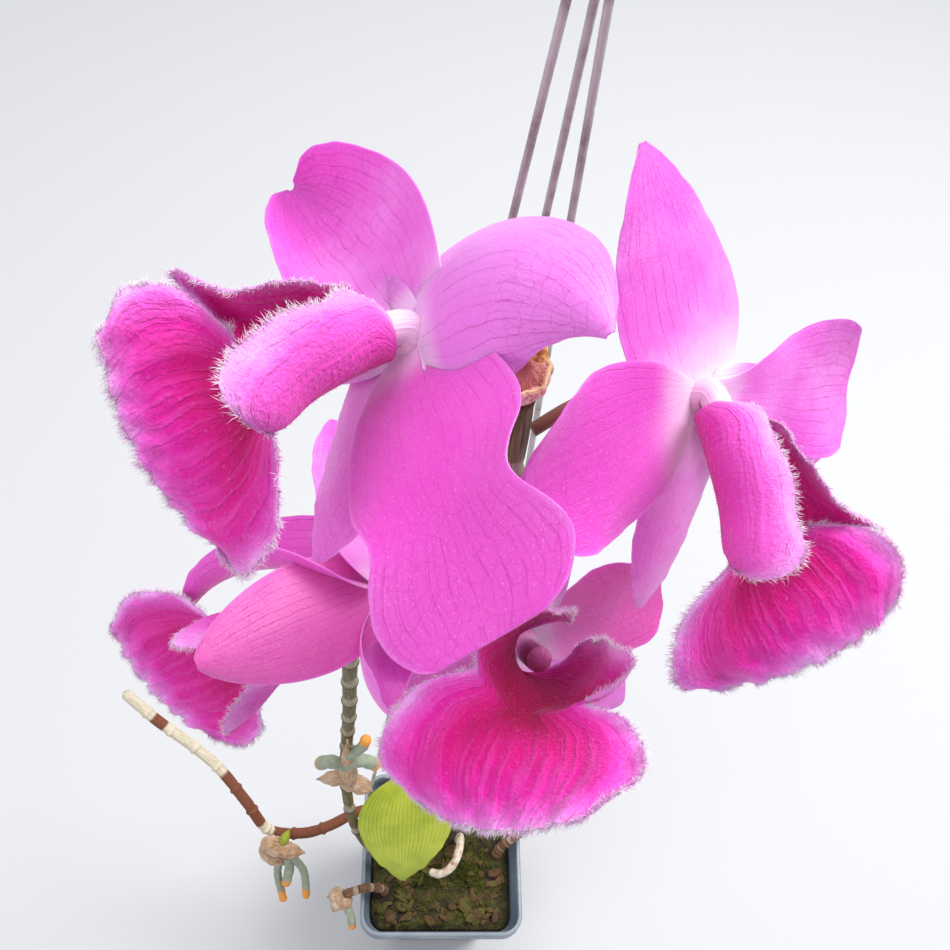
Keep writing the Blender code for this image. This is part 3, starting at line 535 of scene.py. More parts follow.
wire_parts = {}
for side, (x, y) in WIRE_RIM_POINTS.items():
    outward = WIRE_OUTWARD[side]
    rim = Vector((x * POT_RIM_WIDTH / 2, y * POT_RIM_WIDTH / 2, WIRE_HOLE_HEIGHT))
    reach = WIRE_RADIUS + 0.45
    wire_top = HOOK_POINT + Vector((*WIRE_TOP_OFFSETS[side], 0))
    bend = rim + outward * reach
    wire_path = [rim - outward * 3.6, rim - outward * 1.5, rim + outward * (reach - 0.9), bend + Vector((0, 0, 0.25)),
                 bend + Vector((0, 0, 1.2)), bend + Vector((0, 0, 5))]
    foot = wire_path[-1]
    wire_path += [foot.lerp(wire_top, share) for share in (0.03, 0.3, 0.7, 1)]
    wire_length = smooth_path(wire_path)[1][-1]
    wire_stops = np.concatenate((np.linspace(0, 14, 26), np.linspace(18, wire_length, 60)))
    points, faces, stored = tube(wire_path, wire_stops, lambda stop, angle: WIRE_RADIUS * (1 + 0 * angle), 12)
    make_piece(f"hanger_wire_{side}_drawn", points, faces, metal, "hanger_wire", (f"hanger_wire_{side}",),
               stored={"grain": stored})

collar_middle = HOOK_POINT + Vector((0, 0, HOOK_COLLAR_HEIGHT / 2 - 4))
collar_path = (collar_middle - Vector((0, 0, HOOK_COLLAR_HEIGHT / 2)), collar_middle,
               collar_middle + Vector((0, 0, HOOK_COLLAR_HEIGHT / 2)))
collar_stops = np.array((0, 0.3, 0.8, 2.4, 2.8, 3.2, 5.8, 6.2, 6.6, 8.2, 8.7, 9.0))
collar_widths = (0.86, 0.96, 1.0, 1.0, 0.9, 1.0, 1.0, 0.9, 1.0, 1.0, 0.96, 0.86)
points, faces, stored = tube(collar_path, collar_stops, lambda stop, angle: HOOK_COLLAR_RADIUS
                             * np.interp(stop, collar_stops, collar_widths) * (1 + 0 * angle), 40)
collar = make_piece("hanger_collar", points, faces, metal, "hanger_wire", ("hanger_hook",), sharp_angle=50,
                    stored={"grain": stored})
cut_holes(collar, [drill(HOOK_POINT - Vector((0, 0, 3)), (0, 0, 1), HOOK_HOLE_RADIUS, 15)])

hook_foot = collar_middle + Vector((0, 0, HOOK_COLLAR_HEIGHT / 2 - 2))
hook_centre = hook_foot + Vector((-HOOK_BEND_RADIUS, 0, HOOK_SHANK))
hook_path = [hook_foot, hook_foot + Vector((0, 0, HOOK_SHANK * 0.7))]
for angle in range(0, 211, 15):
    hook_path.append(hook_centre + Vector((math.cos(math.radians(angle)), 0, math.sin(math.radians(angle)))) * HOOK_BEND_RADIUS)
hook_length = smooth_path(hook_path)[1][-1]
hook_stops = np.concatenate((np.linspace(0, hook_length - 1, 70), (hook_length - 0.5, hook_length - 0.15, hook_length)))
points, faces, stored = tube(hook_path, hook_stops, lambda stop, angle: HOOK_WIRE_RADIUS
                             * np.clip((hook_length + 0.1 - stop) / 0.9, 0.3, 1) ** 0.5 * (1 + 0 * angle), 16)
make_piece("hanger_hook_bend", points, faces, metal, "hanger_wire", stored={"grain": stored})


# The two tall canes: leafless stems swollen at each node, finely grooved, each length between nodes still
# wrapped in the papery remains of an old leaf sheath. Their feet run down into the medium.

Stem = namedtuple("Stem", "path radius internode")
FLOWERING_CANE = Stem(radius=2.7, internode=24, path=(
    (1.6, 12, 46), (1.6, 12, 59), (1.6, 12, 72), (1, 8, 130), (-3, -8, 230), (-7, -24, 340), (-9, -34, 430),
    (-10, -38.5, 482), (-10.4, -39.2, 498)))
LEFT_CANE = Stem(radius=2.3, internode=25, path=(
    (-29, -3, 46), (-29, -3, 59), (-29, -3, 72), (-36, -3, 98), (-43, 0, 130), (-45.5, 4, 176), (-44, 3, 222),
    (-42, -4, 270), (-40, -15, 340), (-38.5, -27, 400), (-38, -36, 436)))
NODE_SWELL = 1.22


def cane_finish(name, skin, dark, sheath, node_colour, spacing):
    """Grooved cane skin with a coloured ring at each node and torn papery sheath over part of each length."""
    finish = Finish(name, Roughness=0.55, Specular_IOR_Level=0.4)
    distance = finish.stored("grain", "X")
    around = finish.vector(distance * 0.02, finish.stored("grain", "Y") * 2.2, finish.stored("grain", "Z") * 2.2)
    groove = finish.noise(around, 6, 3)
    blotch = finish.noise(finish.place(), 110, 4)
    node_share = finish.node("Math", {"operation": "FRACT"}, distance / spacing)
    node_ring = finish.remap(abs(node_share - 0.5), 0.435, 0.485)
    torn = finish.remap(node_share + blotch * 0.5 + groove * 0.25, 0.62, 0.7)
    body = finish.mix(finish.remap(groove, 0.35, 0.65), skin, dark)
    papery = finish.mix(finish.remap(finish.noise(around, 14, 2), 0.35, 0.6), sheath, tuple(part * 0.55 for part in sheath))
    covered = finish.mix(torn, papery, body)
    finish.set(Base_Color=finish.mix(node_ring, covered, node_colour),
               Roughness=finish.remap(groove, 0.3, 0.7, 0.45, 0.75))
    finish.bump(groove + torn * -0.5, 0.0004)
    return finish


def cane_radius(stem, spacing, length, groove=0.035):
    """Radius of a cane by distance and angle: swollen nodes, a sheath's step above each, and shallow grooves."""
    def radius_at(stop, angles):
        share = stop / spacing % 1.0
        from_node = min(share, 1 - share) * spacing
        swell = (NODE_SWELL - 1) * math.exp(-(from_node / (0.055 * spacing)) ** 2)
        waist = -0.06 * math.exp(-((share - 0.12) / 0.07) ** 2)
        taper = min(1.0, 0.35 + 0.5 * (length - stop) + 1e-6) if length - stop < 1.3 else 1.0
        ribs = groove * np.sin(9 * angles + 1.3 * math.sin(stop * 0.11)) * math.sin(math.pi * share)
        scar = 0.03 * math.exp(-((from_node - 0.05 * spacing) / 0.35) ** 2)
        return stem.radius * (0.98 + swell + waist + scar + ribs) * taper
    return radius_at


def cane_spacing(stem, length):
    return length / (int(length / stem.internode) + 1)


def cane_stops(stem, length, spacing):
    """Stops along a cane, close together at its nodes."""
    stops = [0]
    for node in range(int(round(length / spacing))):
        for share in (0.03, 0.06, 0.09, 0.13, 0.18, 0.26, 0.36, 0.48, 0.6, 0.72, 0.82, 0.89, 0.93, 0.96, 0.98, 1.0):
            stops.append((node + share) * spacing)
    stops[-1:] = [length - 1.2, length - 0.8, length - 0.4, length]
    return np.array(stops)


def make_cane(name, stem, finish, slot, replaces, sides=28):
    length = smooth_path(stem.path)[1][-1]
    spacing = cane_spacing(stem, length)
    points, faces, stored = tube(stem.path, cane_stops(stem, length, spacing), cane_radius(stem, spacing, length), sides)
    return make_piece(name, points, faces, finish, slot, replaces, stored={"grain": stored})


flowering_spacing = cane_spacing(FLOWERING_CANE, smooth_path(FLOWERING_CANE.path)[1][-1])
left_spacing = cane_spacing(LEFT_CANE, smooth_path(LEFT_CANE.path)[1][-1])
cane_skin = cane_finish("flowering_cane_skin", colour(128, 112, 62), colour(86, 72, 40), colour(196, 180, 150),
                        colour(96, 60, 34), flowering_spacing)
left_skin = cane_finish("left_cane_skin", colour(122, 110, 66), colour(78, 68, 42), colour(188, 172, 146),
                        colour(90, 58, 36), left_spacing)
make_cane("flowering_cane_stem", FLOWERING_CANE, cane_skin, "cane", ("flowering_cane",))
make_cane("left_cane_stem", LEFT_CANE, left_skin, "cane", ("left_cane",))


# The old growth: a bare cane that leans out over the left rim, its cream sheaths split by red-brown nodes,
# a beaded stub at the right rim, and the papery plantlets with stubby roots that sprout from them.

OLD_CANE = Stem(radius=2.6, internode=15, path=(
    (-24, 19, 46), (-24, 19, 59), (-24, 19, 71), (-31, 18, 84), (-41.8, 16.1, 87), (-55, 10, 84.5), (-68, 6.5, 83.4),
    (-84.5, 7, 88.3), (-94.7, 15.8, 105.2), (-109.6, 29.3, 118.8), (-134.2, 42.5, 137.3), (-148.5, 51.5, 148)))
RIM_STUB = Stem(radius=2.2, internode=7, path=(
    (28.5, 2, 46), (28.5, 2, 58), (28.5, 2, 70), (31, 3.5, 77), (36, 6, 82), (42, 9, 85)))
RIM_RUNNER = Stem(radius=2.0, internode=9, path=(
    (-28, -17, 46), (-28, -17, 58), (-28, -17, 70), (-32, -17.5, 78), (-39, -19, 81.5), (-46, -21, 79), (-49, -23, 74)))

old_length = smooth_path(OLD_CANE.path)[1][-1]
old_skin = Finish("old_cane_skin", Roughness=0.7, Specular_IOR_Level=0.3)
old_distance = old_skin.stored("grain", "X")
old_around = old_skin.vector(old_distance * 0.03, old_skin.stored("grain", "Y") * 2, old_skin.stored("grain", "Z") * 2)
old_groove = old_skin.noise(old_around, 7, 3)
old_ragged = (old_groove - 0.5) * 5
old_first = old_skin.remap(old_distance + old_ragged, old_length - 62, old_length - 60)
old_gap = old_skin.remap(abs(old_distance + old_ragged * 0.4 - (old_length - 21)), 3.0, 4.2)
old_white = old_skin.remap(abs(old_distance + old_ragged * 0.6 - (old_length - 98)), 4.6, 3.4)
old_brown = old_skin.mix(old_groove, colour(96, 44, 30), colour(150, 92, 66))
old_cream = old_skin.mix(old_skin.remap(old_groove, 0.45, 0.75), colour(226, 214, 190), colour(170, 150, 120))
old_cover = old_skin.mix(old_first * old_gap, old_brown, old_cream)
old_skin.set(Base_Color=old_skin.mix(old_white, old_cover, colour(222, 210, 188)))
old_skin.bump(old_groove + old_skin.noise(old_skin.place(), 700, 3) * 0.4, 0.0004)
make_cane("old_cane_stem", OLD_CANE, old_skin, "dry_cane", ("old_cane",))

stub_skin = cane_finish("rim_stub_skin", colour(150, 110, 84), colour(104, 66, 46), colour(206, 180, 150),
                        colour(86, 44, 30), 7)
make_cane("rim_stub_stem", RIM_STUB, stub_skin, "dry_cane", ("rim_stub",), 20)

paper = Finish("plantlet_bracts", Roughness=0.75, Specular_IOR_Level=0.3)
paper_along = paper.stored("grain", "X")
paper_streak = paper.noise(paper.vector(paper_along * 0.05, paper.stored("grain", "Y") * 3, paper.stored("grain", "Z") * 3), 5, 3)
paper_patch = paper.noise(paper.place(), 130, 3)
paper_colour = paper.node("ValToRGB", {"stops": ((0.3, colour(120, 78, 52)), (0.48, colour(190, 150, 116)),
                                                 (0.7, colour(232, 218, 196)))}, paper_streak * 0.6 + paper_patch * 0.45)
paper.set(Base_Color=paper_colour)
paper.bump(paper_streak, 0.0005)

root_skin = Finish("stubby_roots", Roughness=0.85, Specular_IOR_Level=0.25)
root_share = root_skin.stored("grain", "X")
root_mottle = root_skin.noise(root_skin.place(), 420, 4)
root_body = root_skin.mix(root_mottle, colour(118, 132, 112), colour(176, 180, 160))
root_skin.set(Base_Color=root_skin.mix(root_skin.remap(root_share + root_mottle * 0.15, 0.8, 0.92), root_body,
                                       colour(226, 152, 74)))
root_skin.bump(root_mottle, 0.0004)

bud_skin = Finish("plantlet_bud", Roughness=0.45, Subsurface_Weight=0.15, Subsurface_Scale=0.001)
bud_tone = bud_skin.noise(bud_skin.place(), 300, 3)
bud_skin.set(Base_Color=bud_skin.mix(bud_tone, colour(168, 176, 40), colour(120, 140, 40)))
bud_skin.bump(bud_tone, 0.0002)

Bulb = namedtuple("Bulb", "start end radius")
Root = namedtuple("Root", "path radius")
PLANTLETS = {
    "left_cane": (Bulb((-38, -35, 431), (-33, -38, 440), 2.6), Bulb((-38, -34, 428), (-42, -38, 439), 2.9)),
    "rim_keiki": (
        Bulb((-47, -21, 79), (-55, -21, 73), 4.2),
        Bulb((-48, -21, 77), (-52, -27, 70), 4.4),
        Bulb((-46, -21, 78), (-46, -28, 73), 3.6),
        Root(((-47, -23, 76), (-43.5, -29, 72), (-42.5, -34, 66)), 1.9),
    ),
    "old_keiki": (
        Bulb((-85, -1.4, 95), (-69, -1.4, 78), 5.2),
        Bulb((-86, -2, 88), (-75, -6, 74), 5.2),
        Bulb((-78, -3, 90), (-66, -4, 88), 4.2),
        Root(((-75, -4, 82), (-74, -8, 74), (-76, -14, 65)), 2.3),
        Root(((-72, -4, 81), (-67, -9, 70), (-66, -18, 57)), 1.9),
        Root(((-78, -4, 82), (-80, -9, 68), (-77, -19, 55)), 1.9),
    ),
    "left_keiki": (
        Bulb((-43.5, -4, 190), (-43, -4.6, 246), 3.8),
        Bulb((-44, -5, 205), (-56, -3, 196), 3.4),
        Bulb((-42, -5, 200), (-34, -5, 188), 4.0),
        Root(((-44, -5, 222), (-38, -5, 225), (-32, -4, 217)), 2.6),
        Root(((-44, -5, 220), (-50, -5, 223), (-55, -4, 217)), 2.6),
        Root(((-43, -5, 231), (-38, -5, 239), (-36, -4, 247)), 2.0),
    ),
}
OLD_KEIKI_BUD = Bulb((-77, -1, 92), (-73.5, 4, 98), 2.4)


def bulb_shape(bulb, seed):
    """A fat bulb wrapped in overlapping pointed bracts, which show as steps that spiral up it."""
    start = Vector(bulb.start)
    end = Vector(bulb.end)
    length = (end - start).length
    stops = np.linspace(0, length, 34)

    def radius_at(stop, angles):
        share = stop / length
        plump = math.sin(math.pi * min(1.0, share * 0.8 + 0.16)) ** 0.7 * (1 - 0.75 * share ** 3)
        scales = (share * 3.2 + (angles / (2 * math.pi)) + seed * 0.37) % 1.0
        return bulb.radius * max(plump, 0.12) * (0.9 + 0.14 * scales ** 2 + 0.03 * np.sin(13 * angles + seed))
    return tube((start, start.lerp(end, 0.5), end), stops, radius_at, 36)


def root_shape(root):
    """A stubby aerial root with a slightly knobbly skin and a rounded tip."""
    length = smooth_path(root.path)[1][-1]
    stops = np.concatenate((np.linspace(0, length - root.radius, 22), length - root.radius * np.array((0.7, 0.4, 0.18, 0.04))))

    def radius_at(stop, angles):
        left = max(length - stop, 0.0) / root.radius
        tip = math.sqrt(max(0.02, 1 - (1 - min(left, 1.0)) ** 2))
        return root.radius * tip * (1 + 0.05 * math.sin(stop * 1.3) + 0.03 * np.sin(3 * angles + stop * 0.4))
    points, faces, stored = tube(root.path, stops, radius_at, 20)
    stored[:, 0] /= length
    return points, faces, stored


def make_plantlet(name, parts, replaces):
    """Bulbs in one piece and roots in another, both standing for the plantlet's node."""
    for kind, shape, finish, slot in (("bracts", bulb_shape, paper, "keiki"), ("roots", root_shape, root_skin, "keiki")):
        wanted = Bulb if kind == "bracts" else Root
        chosen = [part for part in parts if isinstance(part, wanted)]
        if not chosen:
            continue
        shapes = [shape(part, number) if wanted is Bulb else shape(part) for number, part in enumerate(chosen)]
        points, faces = gather([(points, faces) for points, faces, _ in shapes])
        stored = np.concatenate([stored for _, _, stored in shapes])
        make_piece(f"{name}_{kind}", points, faces, finish, slot, replaces, stored={"grain": stored})


make_plantlet("left_cane", PLANTLETS["left_cane"], ())
make_plantlet("rim_keiki", PLANTLETS["rim_keiki"], ())
make_plantlet("old_keiki", PLANTLETS["old_keiki"], ("old_keiki",))
make_plantlet("left_keiki", PLANTLETS["left_keiki"], ("left_keiki",))
make_cane("rim_keiki_runner", RIM_RUNNER, stub_skin, "keiki", ("rim_keiki",), 20)
points, faces, stored = bulb_shape(OLD_KEIKI_BUD, 5)
make_piece("old_keiki_bud", points, faces, bud_skin, "keiki", stored={"grain": stored})

CURLED_ROOT = Root(((9, 8, 46), (9, 8, 58), (9, 8, 70), (9, 6, 79), (8, -1, 83), (5, -8, 81), (-1, -11, 77), (-6, -9, 74.5)), 2.0)
pale_root = Finish("curled_root_skin", Roughness=0.85, Specular_IOR_Level=0.25)
pale_mottle = pale_root.noise(pale_root.place(), 300, 4)
pale_root.set(Base_Color=pale_root.node("ValToRGB", {"stops": ((0.3, colour(176, 128, 100)), (0.5, colour(214, 196, 172)),
                                                               (0.7, colour(236, 232, 220)))}, pale_mottle))
pale_root.bump(pale_mottle, 0.0004)
points, faces, stored = root_shape(CURLED_ROOT)
make_piece("curled_root_skin", points, faces, pale_root, "aerial_root", ("curled_root",), stored={"grain": stored})


# The broken top of the flowering cane: a papery cup with a cream rim round a veined dome, where the tip
# snapped off, and the golden dried stub that still stands out of it.

SHEATH_FOOT = Vector((-10.4, -39.2, 498.3))
SHEATH_AXIS = Vector((-0.12, -0.15, 0.98)).normalized()
SHEATH_OUTSIDE = ((2.6, 0), (3.1, 0.5), (3.6, 1.5), (4.2, 2.8), (4.7, 4.2), (4.95, 5.6), (4.9, 6.6), (4.6, 7.05), (4.3, 6.95),
                  (4.1, 6.4), (3.85, 6.0), (3.55, 6.3), (3.1, 7.1), (2.5, 7.9), (1.8, 8.5), (1.0, 8.85), (0.35, 8.95))
STUB_PATH = ((-11.8, -40.7, 507.2), (-11.6, -40.8, 508.4), (-10.2, -40.9, 509.3), (-7.6, -41, 509.8))
STUB_WIDTHS = ((0, 1.0), (0.3, 0.85), (0.55, 0.95), (0.75, 1.45), (0.9, 1.5), (1.0, 1.0))

sheath_paper = Finish("tip_sheath_paper", Roughness=0.6, Specular_IOR_Level=0.35, Subsurface_Weight=0.2,
                      Subsurface_Radius=(0.9, 0.5, 0.35), Subsurface_Scale=0.001)
sheath_share = sheath_paper.stored("grain", "X")
sheath_around = sheath_paper.vector(sheath_share * 0.12, sheath_paper.stored("grain", "Y"), sheath_paper.stored("grain", "Z"))
sheath_streak = sheath_paper.noise(sheath_around, 9, 2)
sheath_line = sheath_paper.noise(sheath_around, 19, 1)
sheath_vein = sheath_paper.remap(abs(sheath_line - 0.5), 0.05, 0.015) * sheath_paper.remap(sheath_share, 13.6, 9.6, 0.25, 1.0)
sheath_in_dome = sheath_paper.remap(sheath_share, 9.0, 9.6)
sheath_dome = sheath_paper.mix(sheath_vein, colour(214, 140, 130), colour(98, 36, 66))
sheath_out = sheath_paper.mix(sheath_paper.remap(sheath_streak, 0.42, 0.6), colour(250, 222, 206), colour(214, 140, 120))
sheath_rim = sheath_paper.remap(abs(sheath_share - 7.75 + (sheath_streak - 0.5) * 0.8), 0.75, 0.4)
sheath_side = sheath_paper.mix(sheath_in_dome, sheath_out, sheath_dome)
sheath_paper.set(Base_Color=sheath_paper.mix(sheath_rim, sheath_side, colour(248, 224, 168)))
sheath_paper.bump(sheath_streak, 0.0003)

sheath_across = SHEATH_AXIS.orthogonal().normalized()
sheath_other = SHEATH_AXIS.cross(sheath_across)
sheath_rings, sheath_stored = [], []
sheath_travel = 0.0
sheath_last = SHEATH_OUTSIDE[0]
for sheath_radius, sheath_height in SHEATH_OUTSIDE:
    sheath_travel += math.dist((sheath_radius, sheath_height), sheath_last)
    sheath_last = (sheath_radius, sheath_height)
    ring = []
    for side in range(72):
        angle = 2 * math.pi * side / 72
        fold = 1 + (0.035 * math.sin(7 * angle) + 0.02 * math.sin(16 * angle + 1)) * min(1, sheath_height / 4)
        ragged = 0.35 * math.sin(5 * angle + 1) * (1 if 6.3 < sheath_height < 7.2 else 0)
        around = math.cos(angle) * sheath_across + math.sin(angle) * sheath_other
        ring.append(tuple((SHEATH_FOOT + SHEATH_AXIS * (sheath_height + ragged) + around * sheath_radius * fold) * MM))
        sheath_stored.append((sheath_travel, math.cos(angle), math.sin(angle)))
    sheath_rings.append(ring)
make_piece("tip_sheath", *solid_of_rings(sheath_rings), sheath_paper, "papery_sheath", ("cane_tip_sheath",),
           sharp_angle=70, stored={"grain": sheath_stored})

golden = Finish("golden_stub", Roughness=0.5, Specular_IOR_Level=0.4)
golden_tone = golden.noise(golden.place(), 900, 3)
golden.set(Base_Color=golden.mix(golden.remap(golden_tone, 0.35, 0.65), colour(178, 112, 44), colour(252, 212, 128)))
golden.bump(golden_tone, 0.0003)
stub_length = smooth_path(STUB_PATH)[1][-1]
points, faces, stored = tube(STUB_PATH, np.linspace(0, stub_length, 22), lambda stop, angle: 1.05
                             * np.interp(stop / stub_length, *zip(*STUB_WIDTHS)) * (1 + 0.12 * np.sin(4 * angle + stop)), 22)
make_piece("tip_stub", points, faces, golden, "dried_stub", ("cane_tip_stub",), stored={"grain": stored})


# The young shoot: a thin green stem with one soft lime-green leaf that hangs forward over the pot's rim,
# parallel-veined and lightly channelled along its midrib.

Blade = namedtuple("Blade", "clock lean curl hook length width waist sway roll twist cup flare peak claw tip wave waves"
                            " phase")
LEAF = Blade(clock=180, lean=0, curl=-25, hook=0, length=67, width=42, waist=0, sway=0, roll=0, twist=0, cup=-18,
             flare=0, peak=0.42, claw=0.1, tip=1.05, wave=0.8, waves=1.5, phase=0)
LEAF_PLACE = (-19.5, 12, 157.5)
LEAF_ROTATION = (51, 0, 0)
WAIST_PLACE = 0.62
WAIST_REACH = 0.14
SHOOT = Stem(radius=1.5, internode=20, path=(
    (-14, 14, 46), (-14, 14, 59), (-14, 14, 72), (-15, 15, 115), (-19, 13.5, 153), (-19.5, 12, 158)))


def through(knots, u):
    """A smooth curve through (position, value) knots, read at u."""
    spots, values = np.array(knots, float).T
    slopes = np.gradient(values, spots)
    index = np.clip(np.searchsorted(spots, u, side="right") - 1, 0, len(spots) - 2)
    step = spots[index + 1] - spots[index]
    t = (u - spots[index]) / step
    return ((1 + 2 * t) * (1 - t) ** 2 * values[index] + t * (1 - t) ** 2 * step * slopes[index]
            + t * t * (3 - 2 * t) * values[index + 1] + t * t * (t - 1) * step * slopes[index + 1])


def blade_frame(clock, lean, roll):
    """Directions along, across and out of a blade's face, for arrays of angles in degrees."""
    clock, lean, roll = (np.radians(angle)[:, None] for angle in (clock, lean, roll))
    outward = np.cos(clock) * (0, 1, 0) + np.sin(clock) * (1, 0, 0)
    sideways = np.cos(clock) * (1, 0, 0) - np.sin(clock) * (0, 1, 0)
    along = np.cos(lean) * outward + np.sin(lean) * (0, 0, 1)
    face = np.cos(lean) * (0, 0, 1) - np.sin(lean) * outward
    across = np.cos(roll) * sideways + np.sin(roll) * face
    return along, across, np.cos(roll) * face - np.sin(roll) * sideways


def spread(u, v, spine, along, across, face, half_width, wrap, flare, thrust, ripple):
    """Lay a sheet over its spine: bend each cross line by wrap and flare, then push and ripple the margins."""
    fine = np.linspace(0, 1, 25)
    bend = np.radians(wrap)[:, None] * (fine - flare[:, None] * fine ** 3)
    start = np.zeros((len(u), 1))
    out = np.concatenate((start, np.cumsum(np.cos(bend[:, 1:]) + np.cos(bend[:, :-1]), axis=1)), axis=1) * fine[1] / 2
    rise = np.concatenate((start, np.cumsum(np.sin(bend[:, 1:]) + np.sin(bend[:, :-1]), axis=1)), axis=1) * fine[1] / 2
    rows = []
    for row in range(len(u)):
        reach = np.interp(np.abs(v), fine, out[row]) * np.sign(v) * half_width[row]
        lift = np.interp(np.abs(v), fine, rise[row]) * half_width[row]
        rows.append(spine[row] + reach[:, None] * across[row] + (lift + ripple[row])[:, None] * face[row]
                    + (thrust[row] * v * v)[:, None] * along[row])
    return np.array(rows)


def run_spine(start, along, fine_u, u, length):
    """Add up the blade's direction into its midrib, read at u."""
    steps = (along[1:] + along[:-1]) / 2 * length * np.diff(fine_u)[:, None]
    fine = np.vstack(((0, 0, 0), np.cumsum(steps, axis=0))) + start
    return np.column_stack([np.interp(u, fine_u, fine[:, axis]) for axis in range(3)])


def tepal_sheet(blade, u, v, inset=1.0, crimp=0.0, seed=0.0):
    """The middle surface of a petal, sepal or leaf, in mm in its flower's axes."""
    fine_u = np.linspace(0, 1, 61)
    angles = [(blade.clock + blade.sway * at, blade.lean + blade.curl * at ** 1.3 + blade.hook * at ** 6,
               blade.roll + blade.twist * at) for at in (fine_u, u)]
    start = inset * blade_frame(*(np.array((angle,)) for angle in (blade.clock, 0, 0)))[0][0]
    spine = run_spine(start, blade_frame(*angles[0])[0], fine_u, u, blade.length)
    along, across, face = blade_frame(*angles[1])
    rise = blade.tip * blade.peak / (1 - blade.peak)
    top = blade.peak ** rise * (1 - blade.peak) ** blade.tip
    body = u ** rise * (1 - u) ** blade.tip / top
    body *= 1 - blade.waist * np.exp(-((u - WAIST_PLACE) / WAIST_REACH) ** 2)
    half_width = blade.width / 2 * np.sqrt(body ** 2 + (blade.claw * (1 - u)) ** 2)
    side = np.sign(v) * blade.phase
    ripple = []
    for at in u:
        broad = blade.wave * at * np.abs(v) ** 2.5 * np.sin(2 * math.pi * blade.waves * at + side)
        fine = crimp * at * np.abs(v) ** 8 * (np.sin(37 * at + seed + 4 * v) + 0.6 * np.sin(71 * at + 2 * seed))
        furrow = -0.25 * crimp * np.exp(-(v / 0.06) ** 2) * math.sin(math.pi * at) + 0.05 * crimp * np.cos(9 * math.pi * v)
        ripple.append(broad + fine + furrow)
    return spread(u, v, spine, along, across, face, half_width, np.full(len(u), blade.cup) * np.sqrt(u),
                  np.full(len(u), blade.flare), np.zeros(len(u)), ripple)


def even_rows(count, tip=0.985):
    """Positions along a blade, closer together at its base and tip."""
    return tip * (0.35 * np.linspace(0, 1, count) + 0.65 * (1 - np.cos(np.linspace(0, math.pi, count))) / 2)


def thicken(sheet, u, v, thickness, number=0.0):
    """Points, faces and stored (u, v, face) of a closed blade round a sheet, thinner towards its margins."""
    rows, columns = sheet.shape[:2]
    normal = np.cross(np.gradient(sheet, axis=1), np.gradient(sheet, axis=0))
    normal /= np.linalg.norm(normal, axis=2)[:, :, None]
    half = thickness / 2 * (1 - 0.6 * np.abs(v) ** 6)[None, :, None]
    points = np.concatenate(((sheet + half * normal).reshape(-1, 3), (sheet - half * normal).reshape(-1, 3)))
    grid_u, grid_v = np.meshgrid(u, v, indexing="ij")
    stored = [np.column_stack((grid_u.ravel() + number, grid_v.ravel(), np.full(grid_u.size, float(side)))) for side in (1, 0)]
    below = rows * columns
    faces = []
    for row in range(rows - 1):
        for column in range(columns - 1):
            a = row * columns + column
            square = (a, a + 1, a + columns + 1, a + columns)
            faces.append(square)
            faces.append(tuple(corner + below for corner in reversed(square)))
    edge = list(range(columns))
    edge += [row * columns + columns - 1 for row in range(1, rows)]
    edge += [(rows - 1) * columns + column for column in range(columns - 2, -1, -1)]
    edge += [row * columns for row in range(rows - 2, 0, -1)]
    for a, b in zip(edge, edge[1:] + edge[:1]):
        faces.append((b, a, a + below, b + below))
    return points, faces, np.concatenate(stored)


def placed(points, matrix):
    """Points in mm in a flower's axes, moved into place in metres."""
    turned = np.asarray(points) @ np.array(matrix.to_3x3()).T
    return (turned + np.array(matrix.translation)) * MM


def place_matrix(place, rotation):
    turn = Euler([math.radians(angle) for angle in rotation]).to_matrix().to_4x4()
    return Matrix.Translation(place) @ turn


lime = Finish("lime_leaf", Roughness=0.4, Specular_IOR_Level=0.45, Subsurface_Weight=0.15,
              Subsurface_Radius=(0.6, 0.9, 0.1), Subsurface_Scale=0.001)
lime_u = lime.stored("blade", "X")
lime_v = lime.stored("blade", "Y")
lime_wobble = lime.noise(lime.stored("blade"), 3, 3) * 0.08
lime_lines = abs(lime.node("Math", {"operation": "FRACT"}, (lime_v + lime_wobble) * 11) - 0.5)
lime_veins = lime.remap(lime_lines, 0.46, 0.36)
lime_blotch = lime.noise(lime.place(), 70, 4)
lime_colour = lime.mix(lime.remap(lime_blotch, 0.35, 0.65), colour(204, 212, 66), colour(174, 190, 46))
lime.set(Base_Color=lime.mix(lime_veins * 0.22, lime_colour, colour(140, 158, 34)))
lime.bump(lime_veins + lime_blotch * 0.5, 0.0003)
leaf_u = even_rows(70)
leaf_v = np.linspace(-1, 1, 44)
leaf_sheet = tepal_sheet(LEAF, leaf_u, leaf_v, 0, 0.5)
points, faces, stored = thicken(leaf_sheet, leaf_u, leaf_v, 0.6)
make_piece("lime_leaf_blade", placed(points, place_matrix(LEAF_PLACE, LEAF_ROTATION)), faces, lime, "leaf",
           ("leafy_shoot",), stored={"blade": stored})
shoot_skin = cane_finish("shoot_skin", colour(132, 150, 52), colour(98, 118, 40), colour(196, 190, 150),
                         colour(120, 96, 50), 20)
make_cane("shoot_stem", SHOOT, shoot_skin, "leaf", (), 18)
